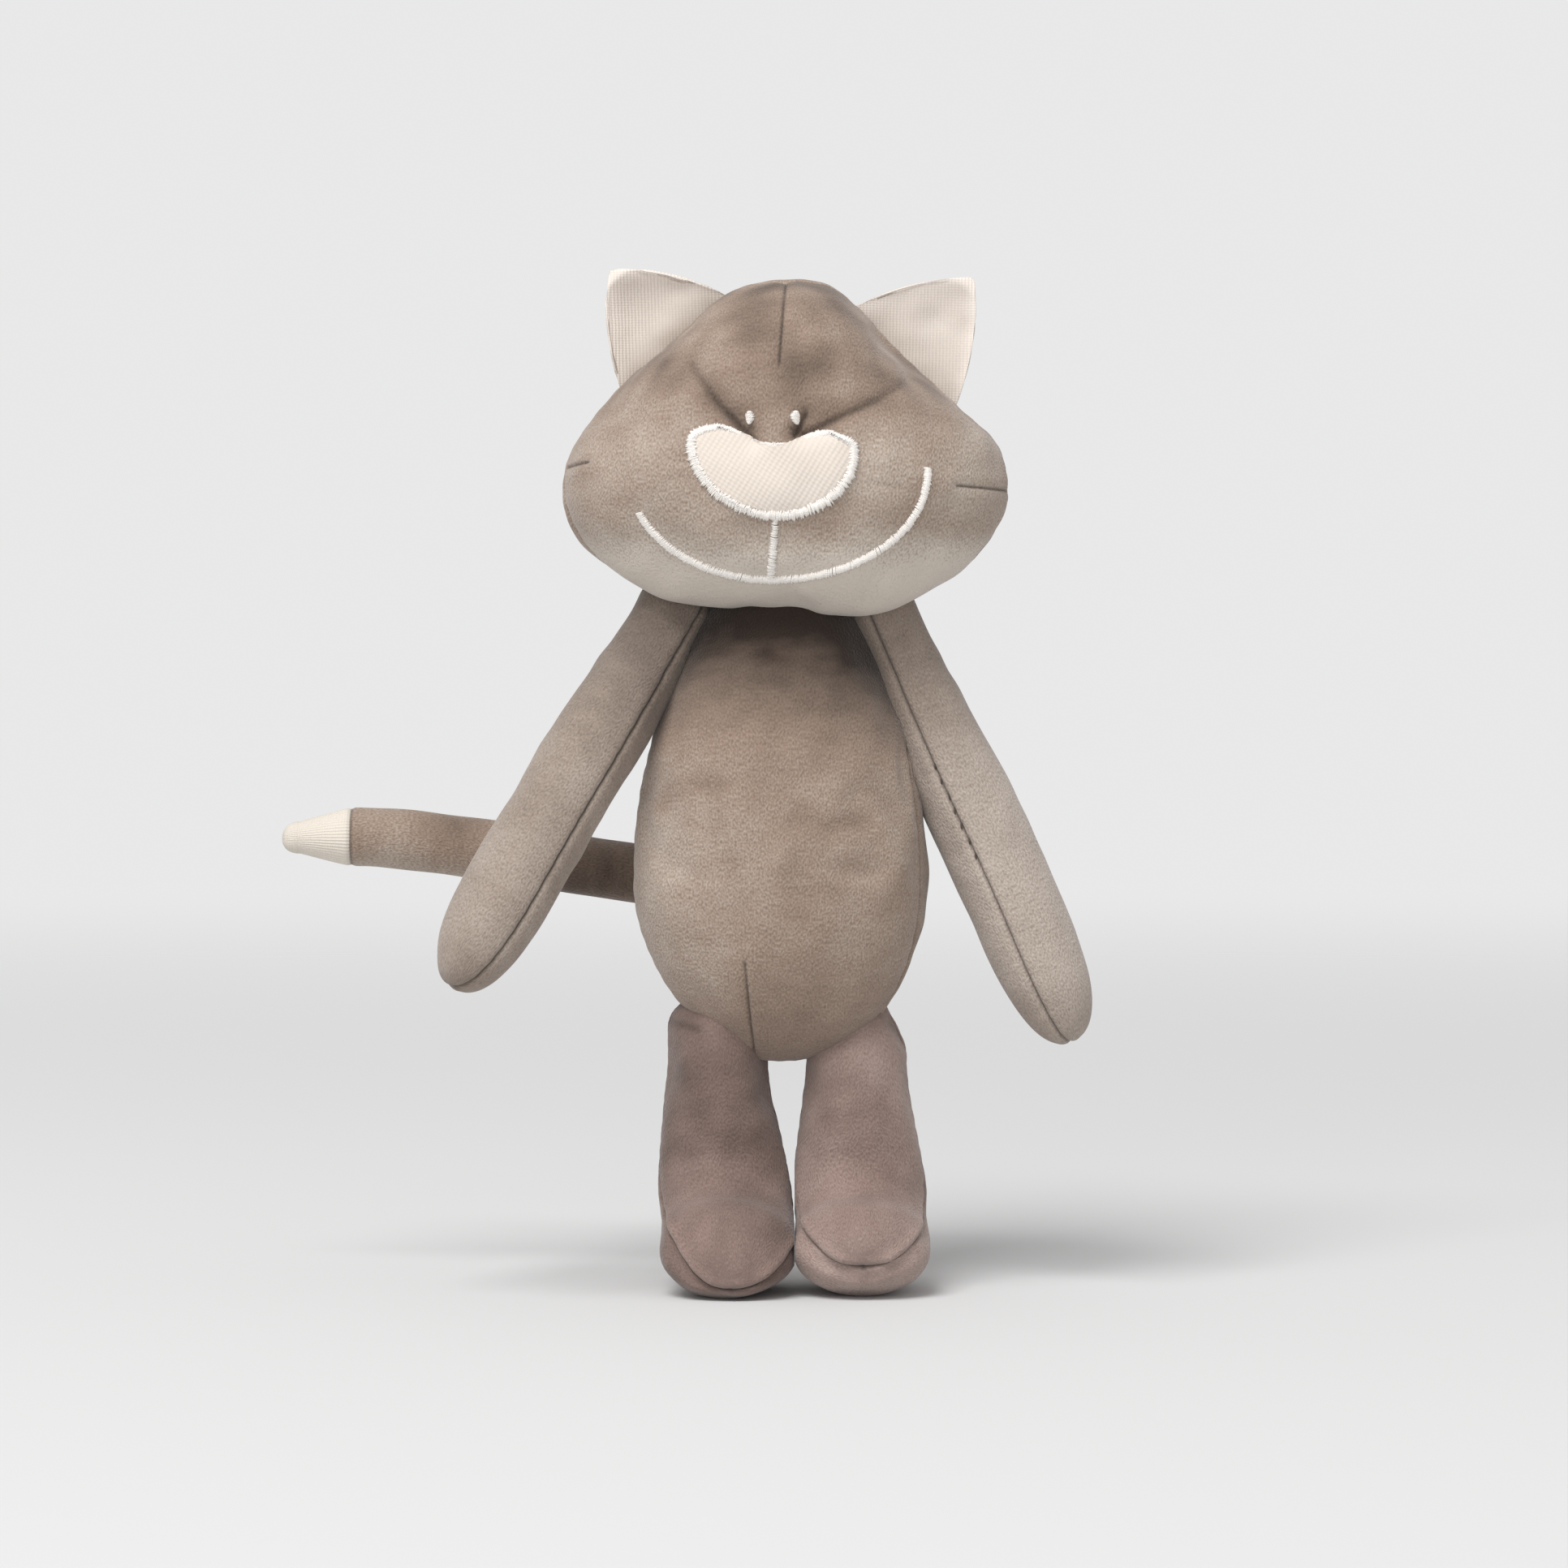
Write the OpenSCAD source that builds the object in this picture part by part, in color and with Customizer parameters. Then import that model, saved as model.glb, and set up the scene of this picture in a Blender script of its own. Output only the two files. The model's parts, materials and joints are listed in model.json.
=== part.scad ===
// Stuffed cloth cat that stands on its two soles. Sizes are in millimetres.
// +Z is up, the face looks along -Y, and the cat's own left is +X.
// The origin lies on the floor below the middle of the body.

/* [Cloth and thread] */
// Thickness of a cloth panel
cloth = 1.5; // [1:0.1:2]
// Room between a panel and the stuffing behind it
fill_gap = 0.3; // [0.2:0.1:0.8]
// Clearance between pieces that move against each other
play = 0.4; // [0.3:0.1:0.6]
// Space under a patch or a stitch that lies on a panel
lay_gap = 0.15; // [0.1:0.05:0.3]
// Diameter of the sewing thread
thread = 0.8; // [0.5:0.1:1.2]

/* [Body] */
// Width of the egg-shaped body
body_width = 100; // [90:1:108]
// Depth of the body from front to back
body_depth = 80; // [66:1:96]
// From the widest level down to the lowest point of the belly
belly_drop = 63; // [50:1:76]
// Roundness of the belly, where 2 is an ellipse
belly_roundness = 2.15; // [1.9:0.05:2.5]
// From the widest level up to the point that the shoulders run towards
shoulder_rise = 108; // [104:1:124]
// Roundness of the shoulders, where 2 is an ellipse and 1 is straight
shoulder_roundness = 1.75; // [1.6:0.05:2]
// From the widest level up to the neck seam
neck_rise = 94; // [84:1:96]

/* [Head] */
// Width of the head across the cheeks
head_width = 151; // [130:1:170]
// Depth of the face in front of the edge seam
face_depth = 50; // [40:1:60]
// Depth of the back of the head behind the edge seam
nape_depth = 44; // [34:1:54]
// From the neck up to the widest level of the cheeks
cheek_rise = 40; // [32:1:48]
// From the widest level of the cheeks up to the crown
crown_rise = 70; // [60:1:80]
// Width of the flat crown
crown_width = 16; // [10:1:24]
// Roundness of the slopes from cheek to crown, where 1 is straight
slope_roundness = 1.45; // [1.3:0.05:1.7]

/* [Face] */
// Sideways place of the face on the head
face_shift = -3; // [-6:0.5:6]
// Height of the nose patch's middle above the neck
nose_level = 50; // [44:1:56]
// Width of the nose patch
nose_width = 56; // [44:1:66]
// Height of the nose patch's lobes above its middle
nose_lobe = 13; // [9:0.5:16]
// Depth of the dip between the lobes
nose_dip = 5; // [2:0.5:7]
// Depth of the nose patch below its middle
nose_drop = 18; // [12:0.5:22]
// Width of the stitched border round the nose patch
border_width = 3.6; // [2:0.2:5]
// Space between the nose patch and that border
border_gap = 0.6; // [0.5:0.1:0.9]
// Width of the satin-stitched mouth lines
stitch_width = 2.6; // [1.6:0.2:4]
// Height of satin stitching above the cloth
stitch_height = 1.2; // [0.8:0.1:1.8]
// Height of the smile's lowest point above the neck
smile_level = 8.5; // [6:0.5:12]
// Half the width of the oval that the smile follows
smile_reach = 53; // [40:1:58]
// Height of the oval that the smile follows
smile_height = 37; // [28:1:42]
// Where the smile starts and ends on that oval, in degrees from the cat's left
smile_angles = [-157, -3]; // [-180:1:0]
// Height of the eyes above the neck
eye_level = 64.5; // [62:0.5:72]
// Distance between the eyes
eye_spacing = 15.6; // [10:0.2:22]
// Width and height of a stitched eye
eye_size = [2.8, 4]; // [2:0.1:6]

/* [Ears] */
// Width of an ear at its base
ear_width = 47; // [36:1:52]
// Height of an ear above its base
ear_height = 31; // [22:1:40]
// Depth of the hollow in the front of an ear
ear_hollow = 3; // [0:0.5:6]
// Height of the middle of an ear's base above the cheeks
ear_level = 48; // [44:1:54]
// How far an ear can flop forward or back, in degrees
ear_flop = 15; // [5:1:20]

/* [Arms] */
// From the shoulder pivot to the tip of the hand
arm_length = 155; // [130:1:175]
// Diameter of an arm at the shoulder
arm_root = 22; // [18:0.5:24]
// Largest diameter of an arm
arm_width = 31.6; // [26:0.2:34]
// From the shoulder pivot to where an arm is widest
arm_swell = 108; // [100:1:116]
// Height of the shoulder pivot below the neck
shoulder_drop = 7.5; // [6:0.5:12]
// Room between the body and the ball at the top of the left and the right arm
shoulder_gap = [1.1, 0.6]; // [0.6:0.1:1.4]
// Sideways slope of the left and the right arm, in degrees
arm_splay = [23.5, 27]; // [23:0.5:40]
// Forward slope of the left and the right arm, in degrees
arm_reach = [0, 23]; // [0:1:40]
// Turn of the arm seam from the front towards the body, left and right, in degrees
arm_seam_turn = [20, 56]; // [0:1:90]
// Number of hand stitches that close the left arm
closing_stitches = 7; // [3:1:9]
// From the shoulder pivot to the first of those stitches
closing_start = 50; // [40:1:54]
// Distance between those stitches
stitch_pitch = 5.5; // [4:0.1:6]

/* [Legs] */
// Height of the hip pivot above the floor
leg_length = 66.5; // [58:0.5:80]
// Distance between the hip pivots
hip_spread = 49; // [46:1:54]
// Diameter of a leg at the hip
leg_root = 34; // [28:0.5:36]
// Width of a foot
foot_width = 44; // [36:0.5:45]
// Height at which a leg starts to bend forward into the foot
ankle_height = 36; // [33:0.5:39]
// Radius of that bend
ankle_bend = 20; // [19:0.5:24]
// Angle of that bend, in degrees
ankle_angle = 75; // [68:1:82]
// Length of the toe beyond the bend
toe_length = 25; // [18:0.5:30]
// Fullness of the heel, as extra share of the leg's depth
heel_swell = 0.9; // [0.8:0.02:0.96]
// How far an ankle stands behind its hip
ankle_back = 8; // [4:0.5:10]
// Sideways shift of the left and the right foot from its hip
foot_shift = [2.5, 6]; // [0:0.5:6]

/* [Tail] */
// Diameter of the tail
tail_width = 20; // [14:0.5:24]
// Length of the tail from its pivot to the end of its tip
tail_length = 171; // [130:1:190]
// Length of the pale tip
tip_length = 24; // [16:1:36]
// Diameter of the tail near the end of its tip
tip_width = 11; // [7:0.5:14]
// Height of the tail's pivot below the body's widest level
tail_drop = 5; // [0:1:12]
// Rise of the tail from its pivot to its end
tail_lift = 20; // [0:1:40]
// How far the end of the tail curls forward
tail_hug = 8; // [0:1:16]

/* [Hidden] */

// Colours
velour = [0.62, 0.56, 0.51];
leg_velour = [0.57, 0.50, 0.47];
cream_knit = [0.93, 0.88, 0.83];
white_thread = [0.95, 0.93, 0.90];
grey_thread = [0.33, 0.28, 0.26];
white_fill = [0.97, 0.97, 0.95];

// Sides of the cat, as indices into the paired sizes and as signs along X
LEFT = 0;
RIGHT = 1;
function sign_of(side) = side == LEFT ? 1 : -1;

// Angles round a form: 0 is its +X edge, 90 its front, 180 its -X edge, 270 its back
function half_turn(from, steps) = [for (i = [0 : steps]) from + 180 * i / steps];
function full_turn(steps) = [for (i = [0 : steps - 1]) 360 * i / steps];
FRONT = 0;
BACK = 180;
// Points round half a form; its stuffing uses every second one
body_steps = 10;
head_steps = 12;
limb_steps = 7;
thread_sides = 6;

// Blends
function mix(a, b, t) = a + (b - a) * t;
function smooth(t) = let (u = min(1, max(0, t))) u * u * (3 - 2 * u);
// Half size of a swelling form at a share t of the way to its end
function swell(t, roundness) = pow(max(0, 1 - pow(min(1, abs(t)), roundness)), 1 / roundness);
// The share t at which that half size has fallen to a given share
function swell_end(share, roundness) = pow(1 - pow(share, roundness), 1 / roundness);
function unit(v) = v / norm(v);

// The body's side outline, and where the middle of a ball of radius r that rests against it lies,
// as [x, height above the widest level]
function outline_point(angle) = let (
    rise = angle < 0 ? -belly_drop : shoulder_rise,
    power = 2 / (angle < 0 ? belly_roundness : shoulder_roundness)
) [body_width / 2 * pow(cos(angle), power), rise * pow(abs(sin(angle)), power)];
function outline_normal(angle) = let (
    step = 0.01,
    along = outline_point(angle + step) - outline_point(angle - step)
) unit([along.y, -along.x]);
function ball_on_outline(angle, r) = outline_point(angle) + r * outline_normal(angle);
// The outline angle between lo and hi at which coordinate k of that ball's middle reaches a value
function ball_angle(k, value, r, lo, hi, tries = 24) = let (mid = (lo + hi) / 2)
    tries == 0 ? mid
    : ball_on_outline(mid, r)[k] < value ? ball_angle(k, value, r, mid, hi, tries - 1)
    : ball_angle(k, value, r, lo, mid, tries - 1);

// Hips and shoulders are balls that rest against the body
hip_ball = leg_root / 2 + play;
hip_rel_z = ball_on_outline(ball_angle(0, hip_spread / 2, hip_ball, -89, -20), hip_ball).y;
shoulder_rel_z = neck_rise - shoulder_drop;
function shoulder_x(side) = let (r = arm_root / 2 + shoulder_gap[side])
    ball_on_outline(ball_angle(1, shoulder_rel_z, r, 10, 80), r).x;

// Heights
waist_z = leg_length - hip_rel_z;
neck_z = waist_z + neck_rise;
head_z = neck_z + play;
cheek_z = head_z + cheek_rise;
crown_z = cheek_z + crown_rise;
tail_z = waist_z - tail_drop;
function shoulder(side) = [sign_of(side) * shoulder_x(side), 0, waist_z + shoulder_rel_z];
function hip(side) = [sign_of(side) * hip_spread / 2, 0, leg_length];

// Faces of a closed grid of points, without those that shrink to nothing at a row drawn in to one point
function triangles(points, quads) = [
    for (q = quads, t = [[q[0], q[1], q[2]], [q[0], q[2], q[3]]])
        if (points[t[0]] != points[t[1]] && points[t[1]] != points[t[2]] && points[t[2]] != points[t[0]]) t
];
function flat(grid) = [for (row = grid) each row];

// A solid bounded by one grid of points whose rows close on themselves; its end rows meet in a point
module stuffed(grid, closed_rows = false) {
    points = flat(grid);
    rows = len(grid);
    cols = len(grid[0]);
    function at(i, j) = (i % rows) * cols + j % cols;
    quads = [
        for (i = [0 : rows - (closed_rows ? 1 : 2)], j = [0 : cols - 1])
            [at(i, j), at(i, j + 1), at(i + 1, j + 1), at(i + 1, j)]
    ];
    polyhedron(points, triangles(points, quads), convexity = 6);
}

// A cloth panel: the space between an outer and an inner grid of points, open or rolled into a tube
module panel(outer, inner, rolled = false) {
    rows = len(outer);
    cols = len(outer[0]);
    points = concat(flat(outer), flat(inner));
    last = cols - 1;
    function out(i, j) = i * cols + j % cols;
    function in(i, j) = rows * cols + out(i, j);
    spans = [0 : rolled ? last : last - 1];
    sides = [for (i = [0 : rows - 2]) if (!rolled) i];
    quads = concat(
        [for (i = [0 : rows - 2], j = spans) [out(i, j), out(i, j + 1), out(i + 1, j + 1), out(i + 1, j)]],
        [for (i = [0 : rows - 2], j = spans) [in(i, j), in(i + 1, j), in(i + 1, j + 1), in(i, j + 1)]],
        [for (j = spans) [out(0, j + 1), out(0, j), in(0, j), in(0, j + 1)]],
        [for (j = spans) [out(rows - 1, j), out(rows - 1, j + 1), in(rows - 1, j + 1), in(rows - 1, j)]],
        [for (i = sides) [out(i, 0), out(i + 1, 0), in(i + 1, 0), in(i, 0)]],
        [for (i = sides) [out(i + 1, last), out(i, last), in(i, last), in(i + 1, last)]]
    );
    polyhedron(points, triangles(points, quads), convexity = 6);
}

// One row of points round a level of a form
function level(center, half_width, front, back, angles) = [
    for (a = angles) center + [half_width * cos(a), -(sin(a) > 0 ? front : back) * sin(a), 0]
];
function drawn_in(point, angles) = [for (a = angles) point];

// Body, an egg that is widest at the waist

function body_share(z, grow) = z < waist_z
    ? swell((waist_z - z) / (belly_drop + grow), belly_roundness)
    : swell((z - waist_z) / (shoulder_rise + grow), shoulder_roundness);
function body_half_width(z, grow = 0) = (body_width / 2 + grow) * body_share(z, grow);
function body_half_depth(z, grow = 0) = (body_depth / 2 + grow) * body_share(z, grow);
belly_rows = 7;
chest_rows = 7;
function body_levels(grow) = let (neck_angle = asin((neck_rise + grow) / (shoulder_rise + grow))) concat(
    [for (i = [0 : belly_rows - 1]) waist_z - (belly_drop + grow) * cos(90 * i / belly_rows)],
    [for (i = [0 : chest_rows]) waist_z + (shoulder_rise + grow) * sin(neck_angle * i / chest_rows)]
);
function body_grid(grow, angles) = concat(
    [for (z = body_levels(grow)) let (depth = body_half_depth(z, grow))
        level([0, 0, z], body_half_width(z, grow), depth, depth, angles)],
    [drawn_in([0, 0, neck_z + grow], angles)]
);

tail_root = [0, body_half_depth(tail_z) + tail_width / 2 + play, tail_z];

module body_front_panel() {
    angles = half_turn(FRONT, body_steps);
    color(velour) panel(body_grid(0, angles), body_grid(-cloth, angles));
}

module body_back_panel() {
    angles = half_turn(BACK, body_steps);
    color(velour) panel(body_grid(0, angles), body_grid(-cloth, angles));
}

module body_stuffing() {
    color(white_fill) stuffed(body_grid(-cloth - fill_gap, full_turn(body_steps)));
}

// Points round a thread that follows a path; up points away from the cloth at each point
function thread_row(point, along, up, half_width, half_height) = let (
    lift = unit(up - along * (up * along)),
    across = cross(along, lift)
) [for (a = full_turn(thread_sides)) point + across * half_width * cos(a) + lift * half_height * sin(a)];
function heading(path, i, closed) = let (
    n = len(path),
    before = closed ? path[(i + n - 1) % n] : path[max(0, i - 1)],
    after = closed ? path[(i + 1) % n] : path[min(n - 1, i + 1)]
) unit(after - before);
function thread_grid(path, ups, half_width, half_height, closed = false) = [
    for (i = [0 : len(path) - 1])
        thread_row(path[i], heading(path, i, closed), ups[i], half_width, half_height)
];
function ended(grid, path) = concat(
    [drawn_in(path[0], grid[0])], grid, [drawn_in(path[len(path) - 1], grid[0])]
);

// Hand stitching that winds round the neck just below the head
neck_stitch_count = 16;
neck_stitch_points = 4;
module neck_stitching() {
    count = neck_stitch_count * neck_stitch_points;
    swing = 1.5 * thread;
    top_z = neck_z - thread / 2 - swing;
    path = [for (i = [0 : count - 1]) let (
        a = -360 * i / count,
        z = top_z + swing * sin(360 * i / neck_stitch_points),
        out = thread / 2 + lay_gap
    ) [(body_half_width(z) + out) * cos(a), (body_half_depth(z) + out) * sin(a), z]];
    ups = [for (p = path) [p.x, p.y, 0]];
    color(grey_thread) stuffed(thread_grid(path, ups, thread / 2, thread / 2, true), closed_rows = true);
}

// Head, widest at the cheeks, with a flat seat on the neck and a flat crown

neck_half_width = body_half_width(neck_z);
chin_drop = cheek_rise / swell_end(2 * neck_half_width / head_width, 2);
crown_peak = crown_rise / swell_end(crown_width / head_width, slope_roundness);
function head_width_share(z, grow) = z < cheek_z
    ? swell((cheek_z - z) / (chin_drop + grow), 2)
    : swell((z - cheek_z) / (crown_peak + grow), slope_roundness);
function head_depth_share(z, grow) = z < cheek_z
    ? swell((cheek_z - z) / (chin_drop + grow), 2)
    : swell((z - cheek_z) / (crown_peak + grow), 2);
function head_half_width(z, grow = 0) = (head_width / 2 + grow) * head_width_share(z, grow);
chin_rows = 7;
brow_rows = 7;
function head_levels(grow) = let (
    seat_angle = asin((cheek_rise + grow) / (chin_drop + grow)),
    crown_angle = asin((crown_rise + grow) / (crown_peak + grow))
) concat(
    [for (i = [0 : chin_rows - 1]) cheek_z - (chin_drop + grow) * sin(seat_angle * (1 - i / chin_rows))],
    [for (i = [0 : brow_rows]) cheek_z + (crown_peak + grow) * sin(crown_angle * i / brow_rows)]
);
function head_grid(grow, angles) = concat(
    [drawn_in([0, 0, head_z - grow], angles)],
    [for (z = head_levels(grow)) level(
        [0, 0, z],
        head_half_width(z, grow),
        (face_depth + grow) * head_depth_share(z, grow),
        (nape_depth + grow) * head_depth_share(z, grow),
        angles
    )],
    [drawn_in([0, 0, crown_z + grow], angles)]
);

module head_front_panel() {
    angles = half_turn(FRONT, head_steps);
    color(velour) panel(head_grid(0, angles), head_grid(-cloth, angles));
}

module head_back_panel() {
    angles = half_turn(BACK, head_steps);
    color(velour) panel(head_grid(0, angles), head_grid(-cloth, angles));
}

module head_stuffing() {
    color(white_fill) stuffed(head_grid(-cloth - fill_gap, full_turn(head_steps)));
}

// Face, laid on the front of the head

// The point of the face at x and z, raised by a height above the cloth
function face_point(x, z, raise) = [
    x,
    -(face_depth + raise) * head_depth_share(z, raise) * swell(x / head_half_width(z, raise), 2),
    z
];
function face_up(p) = unit([
    p.x / pow(head_width / 2, 2),
    p.y / pow(face_depth, 2),
    (p.z - cheek_z) / pow(p.z < cheek_z ? chin_drop : crown_peak, 2)
]);
nose_z = head_z + nose_level;
lobe_fullness = 0.7;
dip_share = 0.7;
// Outline of the nose patch: two lobes above with a dip between them, one full curve below
function nose_outline(a, grow) = let (
    x = (nose_width / 2 + grow) * cos(a),
    dip = nose_dip * (1 - smooth(abs(cos(a)) / dip_share)),
    lobes = (nose_lobe + grow) * pow(abs(sin(a)), lobe_fullness) - dip
) [face_shift + x, nose_z + (a < 180 ? lobes : (nose_drop + grow) * sin(a))];
nose_points = 40;
nose_rings = 4;
nose_thickness = 1.2;
function nose_grid(raise) = [
    for (i = [0 : nose_rings]) [
        for (a = full_turn(nose_points)) let (
            edge = nose_outline(a, -border_width / 2),
            p = mix([face_shift, nose_z], edge, 1 - i / nose_rings)
        ) face_point(p.x, p.y, raise)
    ]
];

module nose_patch() {
    color(cream_knit) panel(nose_grid(lay_gap), nose_grid(lay_gap + nose_thickness), rolled = true);
}

module nose_border_stitching() {
    raise = lay_gap + nose_thickness / 2;
    edge = [for (a = full_turn(nose_points)) nose_outline(a, border_gap)];
    path = [for (p = edge) face_point(p.x, p.y, raise)];
    grid = thread_grid(path, [for (p = path) face_up(p)], border_width / 2, stitch_height / 2, true);
    color(white_thread) stuffed(grid, closed_rows = true);
}

smile_steps = 24;
smile_bottom_z = head_z + smile_level;
module mouth_stitching() {
    raise = lay_gap + stitch_height / 2;
    path = [for (i = [0 : smile_steps]) let (
        a = mix(smile_angles[0], smile_angles[1], i / smile_steps),
        x = face_shift + smile_reach * cos(a),
        z = smile_bottom_z + smile_height * (1 + sin(a))
    ) face_point(x, z, raise)];
    grid = thread_grid(path, [for (p = path) face_up(p)], stitch_width / 2, stitch_height / 2);
    color(white_thread) stuffed(ended(grid, path));
}

philtrum_steps = 6;
module philtrum_stitching() {
    raise = lay_gap + stitch_height / 2;
    low_z = smile_bottom_z + stitch_width;
    high_z = nose_z - nose_drop - border_width;
    levels = [for (i = [0 : philtrum_steps]) mix(low_z, high_z, i / philtrum_steps)];
    path = [for (z = levels) face_point(face_shift, z, raise)];
    grid = thread_grid(path, [for (p = path) face_up(p)], stitch_width / 2, stitch_height / 2);
    color(white_thread) stuffed(ended(grid, path));
}

eye_steps = 4;
module eye_stitching(side) {
    x = face_shift + sign_of(side) * eye_spacing / 2;
    raise = lay_gap + stitch_height / 2;
    middle = face_point(x, head_z + eye_level, raise);
    up = face_up(middle);
    along = unit(cross(up, [1, 0, 0]));
    path = [for (i = [1 : eye_steps]) middle + along * eye_size.y / 2 * cos(180 * i / (eye_steps + 1))];
    grid = [for (i = [1 : eye_steps]) thread_row(
        path[i - 1], -along, up,
        eye_size.x / 2 * sin(180 * i / (eye_steps + 1)),
        stitch_height / 2 * sin(180 * i / (eye_steps + 1))
    )];
    ends = [middle + along * eye_size.y / 2, middle - along * eye_size.y / 2];
    color(white_thread) stuffed(concat([drawn_in(ends[0], grid[0])], grid, [drawn_in(ends[1], grid[0])]));
}

// Ears, flat shells that stand on the slopes of the head's edge seam

ear_rows = 7;
ear_steps = 8;
ear_roundness = 1.25;
ear_z = cheek_z + ear_level;
ear_slope = let (step = 0.5) atan2(2 * step, head_half_width(ear_z - step) - head_half_width(ear_z + step));
ear_seat = play + (cloth + lay_gap) * sin(ear_flop);
hollow_share = 0.9;
// The ear in its own frame: X along the base towards the crown, Z away from the head
function ear_grid(offset) = [
    for (i = [0 : ear_rows]) let (v = i / ear_rows, w = ear_width / 2 * swell(v, ear_roundness)) [
        for (j = [0 : ear_steps]) let (x = w * cos(180 * j / ear_steps), u = sin(180 * j / ear_steps))
            [x, offset + ear_hollow * u * sin(180 * min(1, v / hollow_share)), ear_height * v]
    ]
];
module place_ear(side) {
    translate([sign_of(side) * head_half_width(ear_z), 0, ear_z])
        mirror([side == LEFT ? 1 : 0, 0, 0])
            rotate([0, -ear_slope, 0])
                translate([0, 0, ear_seat]) children();
}

module ear_front_panel(side) {
    color(cream_knit) place_ear(side) panel(ear_grid(-cloth - lay_gap), ear_grid(-lay_gap));
}

module ear_back_panel(side) {
    color(velour) place_ear(side) panel(ear_grid(lay_gap), ear_grid(cloth + lay_gap));
}

// Arms, round tubes that hang from a ball at the shoulder

arm_root_rows = 3;
arm_rows = 5;
hand_rows = 5;
hand_roundness = 2.4;
function arm_radius(s, grow) =
    s < 0 ? (arm_root / 2 + grow) * swell(s / (arm_root / 2 + grow), 2)
    : s < arm_swell ? mix(arm_root, arm_width, smooth(s / arm_swell)) / 2 + grow
    : (arm_width / 2 + grow) * swell((s - arm_swell) / (arm_length + grow - arm_swell), hand_roundness);
// Distances from the shoulder pivot to each row, from the hand up
function arm_levels(grow) = concat(
    [for (i = [0 : hand_rows - 1]) arm_swell + (arm_length + grow - arm_swell) * cos(90 * i / hand_rows)],
    [for (i = [0 : arm_rows - 1]) arm_swell * (1 - i / arm_rows)],
    [for (i = [0 : arm_root_rows]) -(arm_root / 2 + grow) * sin(90 * i / arm_root_rows)]
);
function arm_grid(grow, angles) = [
    for (s = arm_levels(grow)) let (r = arm_radius(s, grow)) level([0, 0, -s], r, r, r, angles)
];
// The arm hangs along -Z in its own frame; its panels meet at the front and back of that frame
module place_arm(side) {
    translate(shoulder(side))
        rotate([-arm_reach[side], 0, 0])
            rotate([0, -sign_of(side) * arm_splay[side], 0])
                children();
}
module turn_seam(side) {
    rotate([0, 0, 90 - sign_of(side) * arm_seam_turn[side]]) children();
}

module arm_panel(side, from) {
    angles = half_turn(from, limb_steps);
    color(velour) place_arm(side) turn_seam(side) panel(arm_grid(0, angles), arm_grid(-cloth, angles));
}

module arm_outer_panel(side) {
    arm_panel(side, side == LEFT ? FRONT : BACK);
}

module arm_inner_panel(side) {
    arm_panel(side, side == LEFT ? BACK : FRONT);
}

module arm_stuffing(side) {
    color(white_fill) place_arm(side) turn_seam(side)
        stuffed(arm_grid(-cloth - fill_gap, full_turn(limb_steps)));
}

stitch_share = 0.6;
module left_arm_closing_stitches() {
    stitch_length = stitch_pitch * stitch_share;
    color(grey_thread) place_arm(LEFT) turn_seam(LEFT) for (i = [0 : closing_stitches - 1]) {
        path = [for (k = [0 : 2]) let (s = closing_start + i * stitch_pitch + k * stitch_length / 2)
            [-arm_radius(s, thread / 2 + lay_gap), 0, -s]];
        stuffed(ended(thread_grid(path, [for (p = path) [-1, 0, 0]], thread / 2, thread / 2), path));
    }
}

// Legs, tubes that bend forward into a foot with a flat sole

leg_root_rows = 3;
shin_rows = 3;
ankle_rows = 6;
toe_rows = 5;
toe_roundness = 2.2;
ankle_crease = 2;
shin_length = leg_length - ankle_height;
leg_depth = leg_root / 2;
// The middle of a leg's row at bend angle b, in the leg's own frame with the hip pivot at its origin
function ankle_middle(b) = [0, -ankle_bend * (1 - cos(b)), -shin_length - ankle_bend * sin(b)];
function heel_depth(b) = leg_depth * (1 + heel_swell * sin(2 * b));
function instep_depth(b) = mix(leg_depth, min(leg_depth, ankle_bend - ankle_crease), smooth(b / ankle_angle));
// A leg's row: its middle, the bend angle there, and its half width, front depth and back depth
function leg_rows(grow) = concat(
    [for (i = [0 : toe_rows - 1]) let (
        t = cos(90 * i / toe_rows),
        k = swell(t, toe_roundness),
        b = ankle_angle
    ) [
        ankle_middle(b) + (toe_length + grow) * t * [0, -sin(b), -cos(b)],
        b, (foot_width / 2 + grow) * k, (instep_depth(b) + grow) * k, (heel_depth(b) + grow) * k
    ]],
    [for (i = [0 : ankle_rows - 1]) let (b = ankle_angle * (1 - i / ankle_rows))
        [ankle_middle(b), b, foot_width / 2 + grow, instep_depth(b) + grow, heel_depth(b) + grow]],
    [for (i = [0 : shin_rows - 1]) let (
        s = shin_length * (1 - i / shin_rows),
        w = mix(leg_root, foot_width, smooth(s / shin_length)) / 2
    ) [[0, 0, -s], 0, w + grow, leg_depth + grow, leg_depth + grow]],
    [for (i = [0 : leg_root_rows]) let (
        r = leg_depth + grow,
        k = r * cos(90 * i / leg_root_rows)
    ) [[0, 0, r * sin(90 * i / leg_root_rows)], 0, k, k, k]]
);
// The foot moves sideways and back with depth below the hip, and stops at the floor
function leg_place(side, p, grow) = let (drop = max(0, -p.z) / leg_length) [
    p.x + foot_shift[side] * drop,
    p.y + ankle_back * min(1, drop * leg_length / shin_length),
    max(p.z, -leg_length - grow)
];
function leg_grid(side, grow, angles) = [
    for (row = leg_rows(grow)) [
        for (a = angles) let (
            up = [0, -cos(row[1]), sin(row[1])],
            depth = sin(a) > 0 ? row[3] : row[4]
        ) leg_place(side, row[0] + [row[2] * cos(a), 0, 0] + up * depth * sin(a), grow)
    ]
];

module leg_panel(side, from) {
    angles = half_turn(from, limb_steps);
    color(leg_velour) translate(hip(side)) panel(leg_grid(side, 0, angles), leg_grid(side, -cloth, angles));
}

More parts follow.
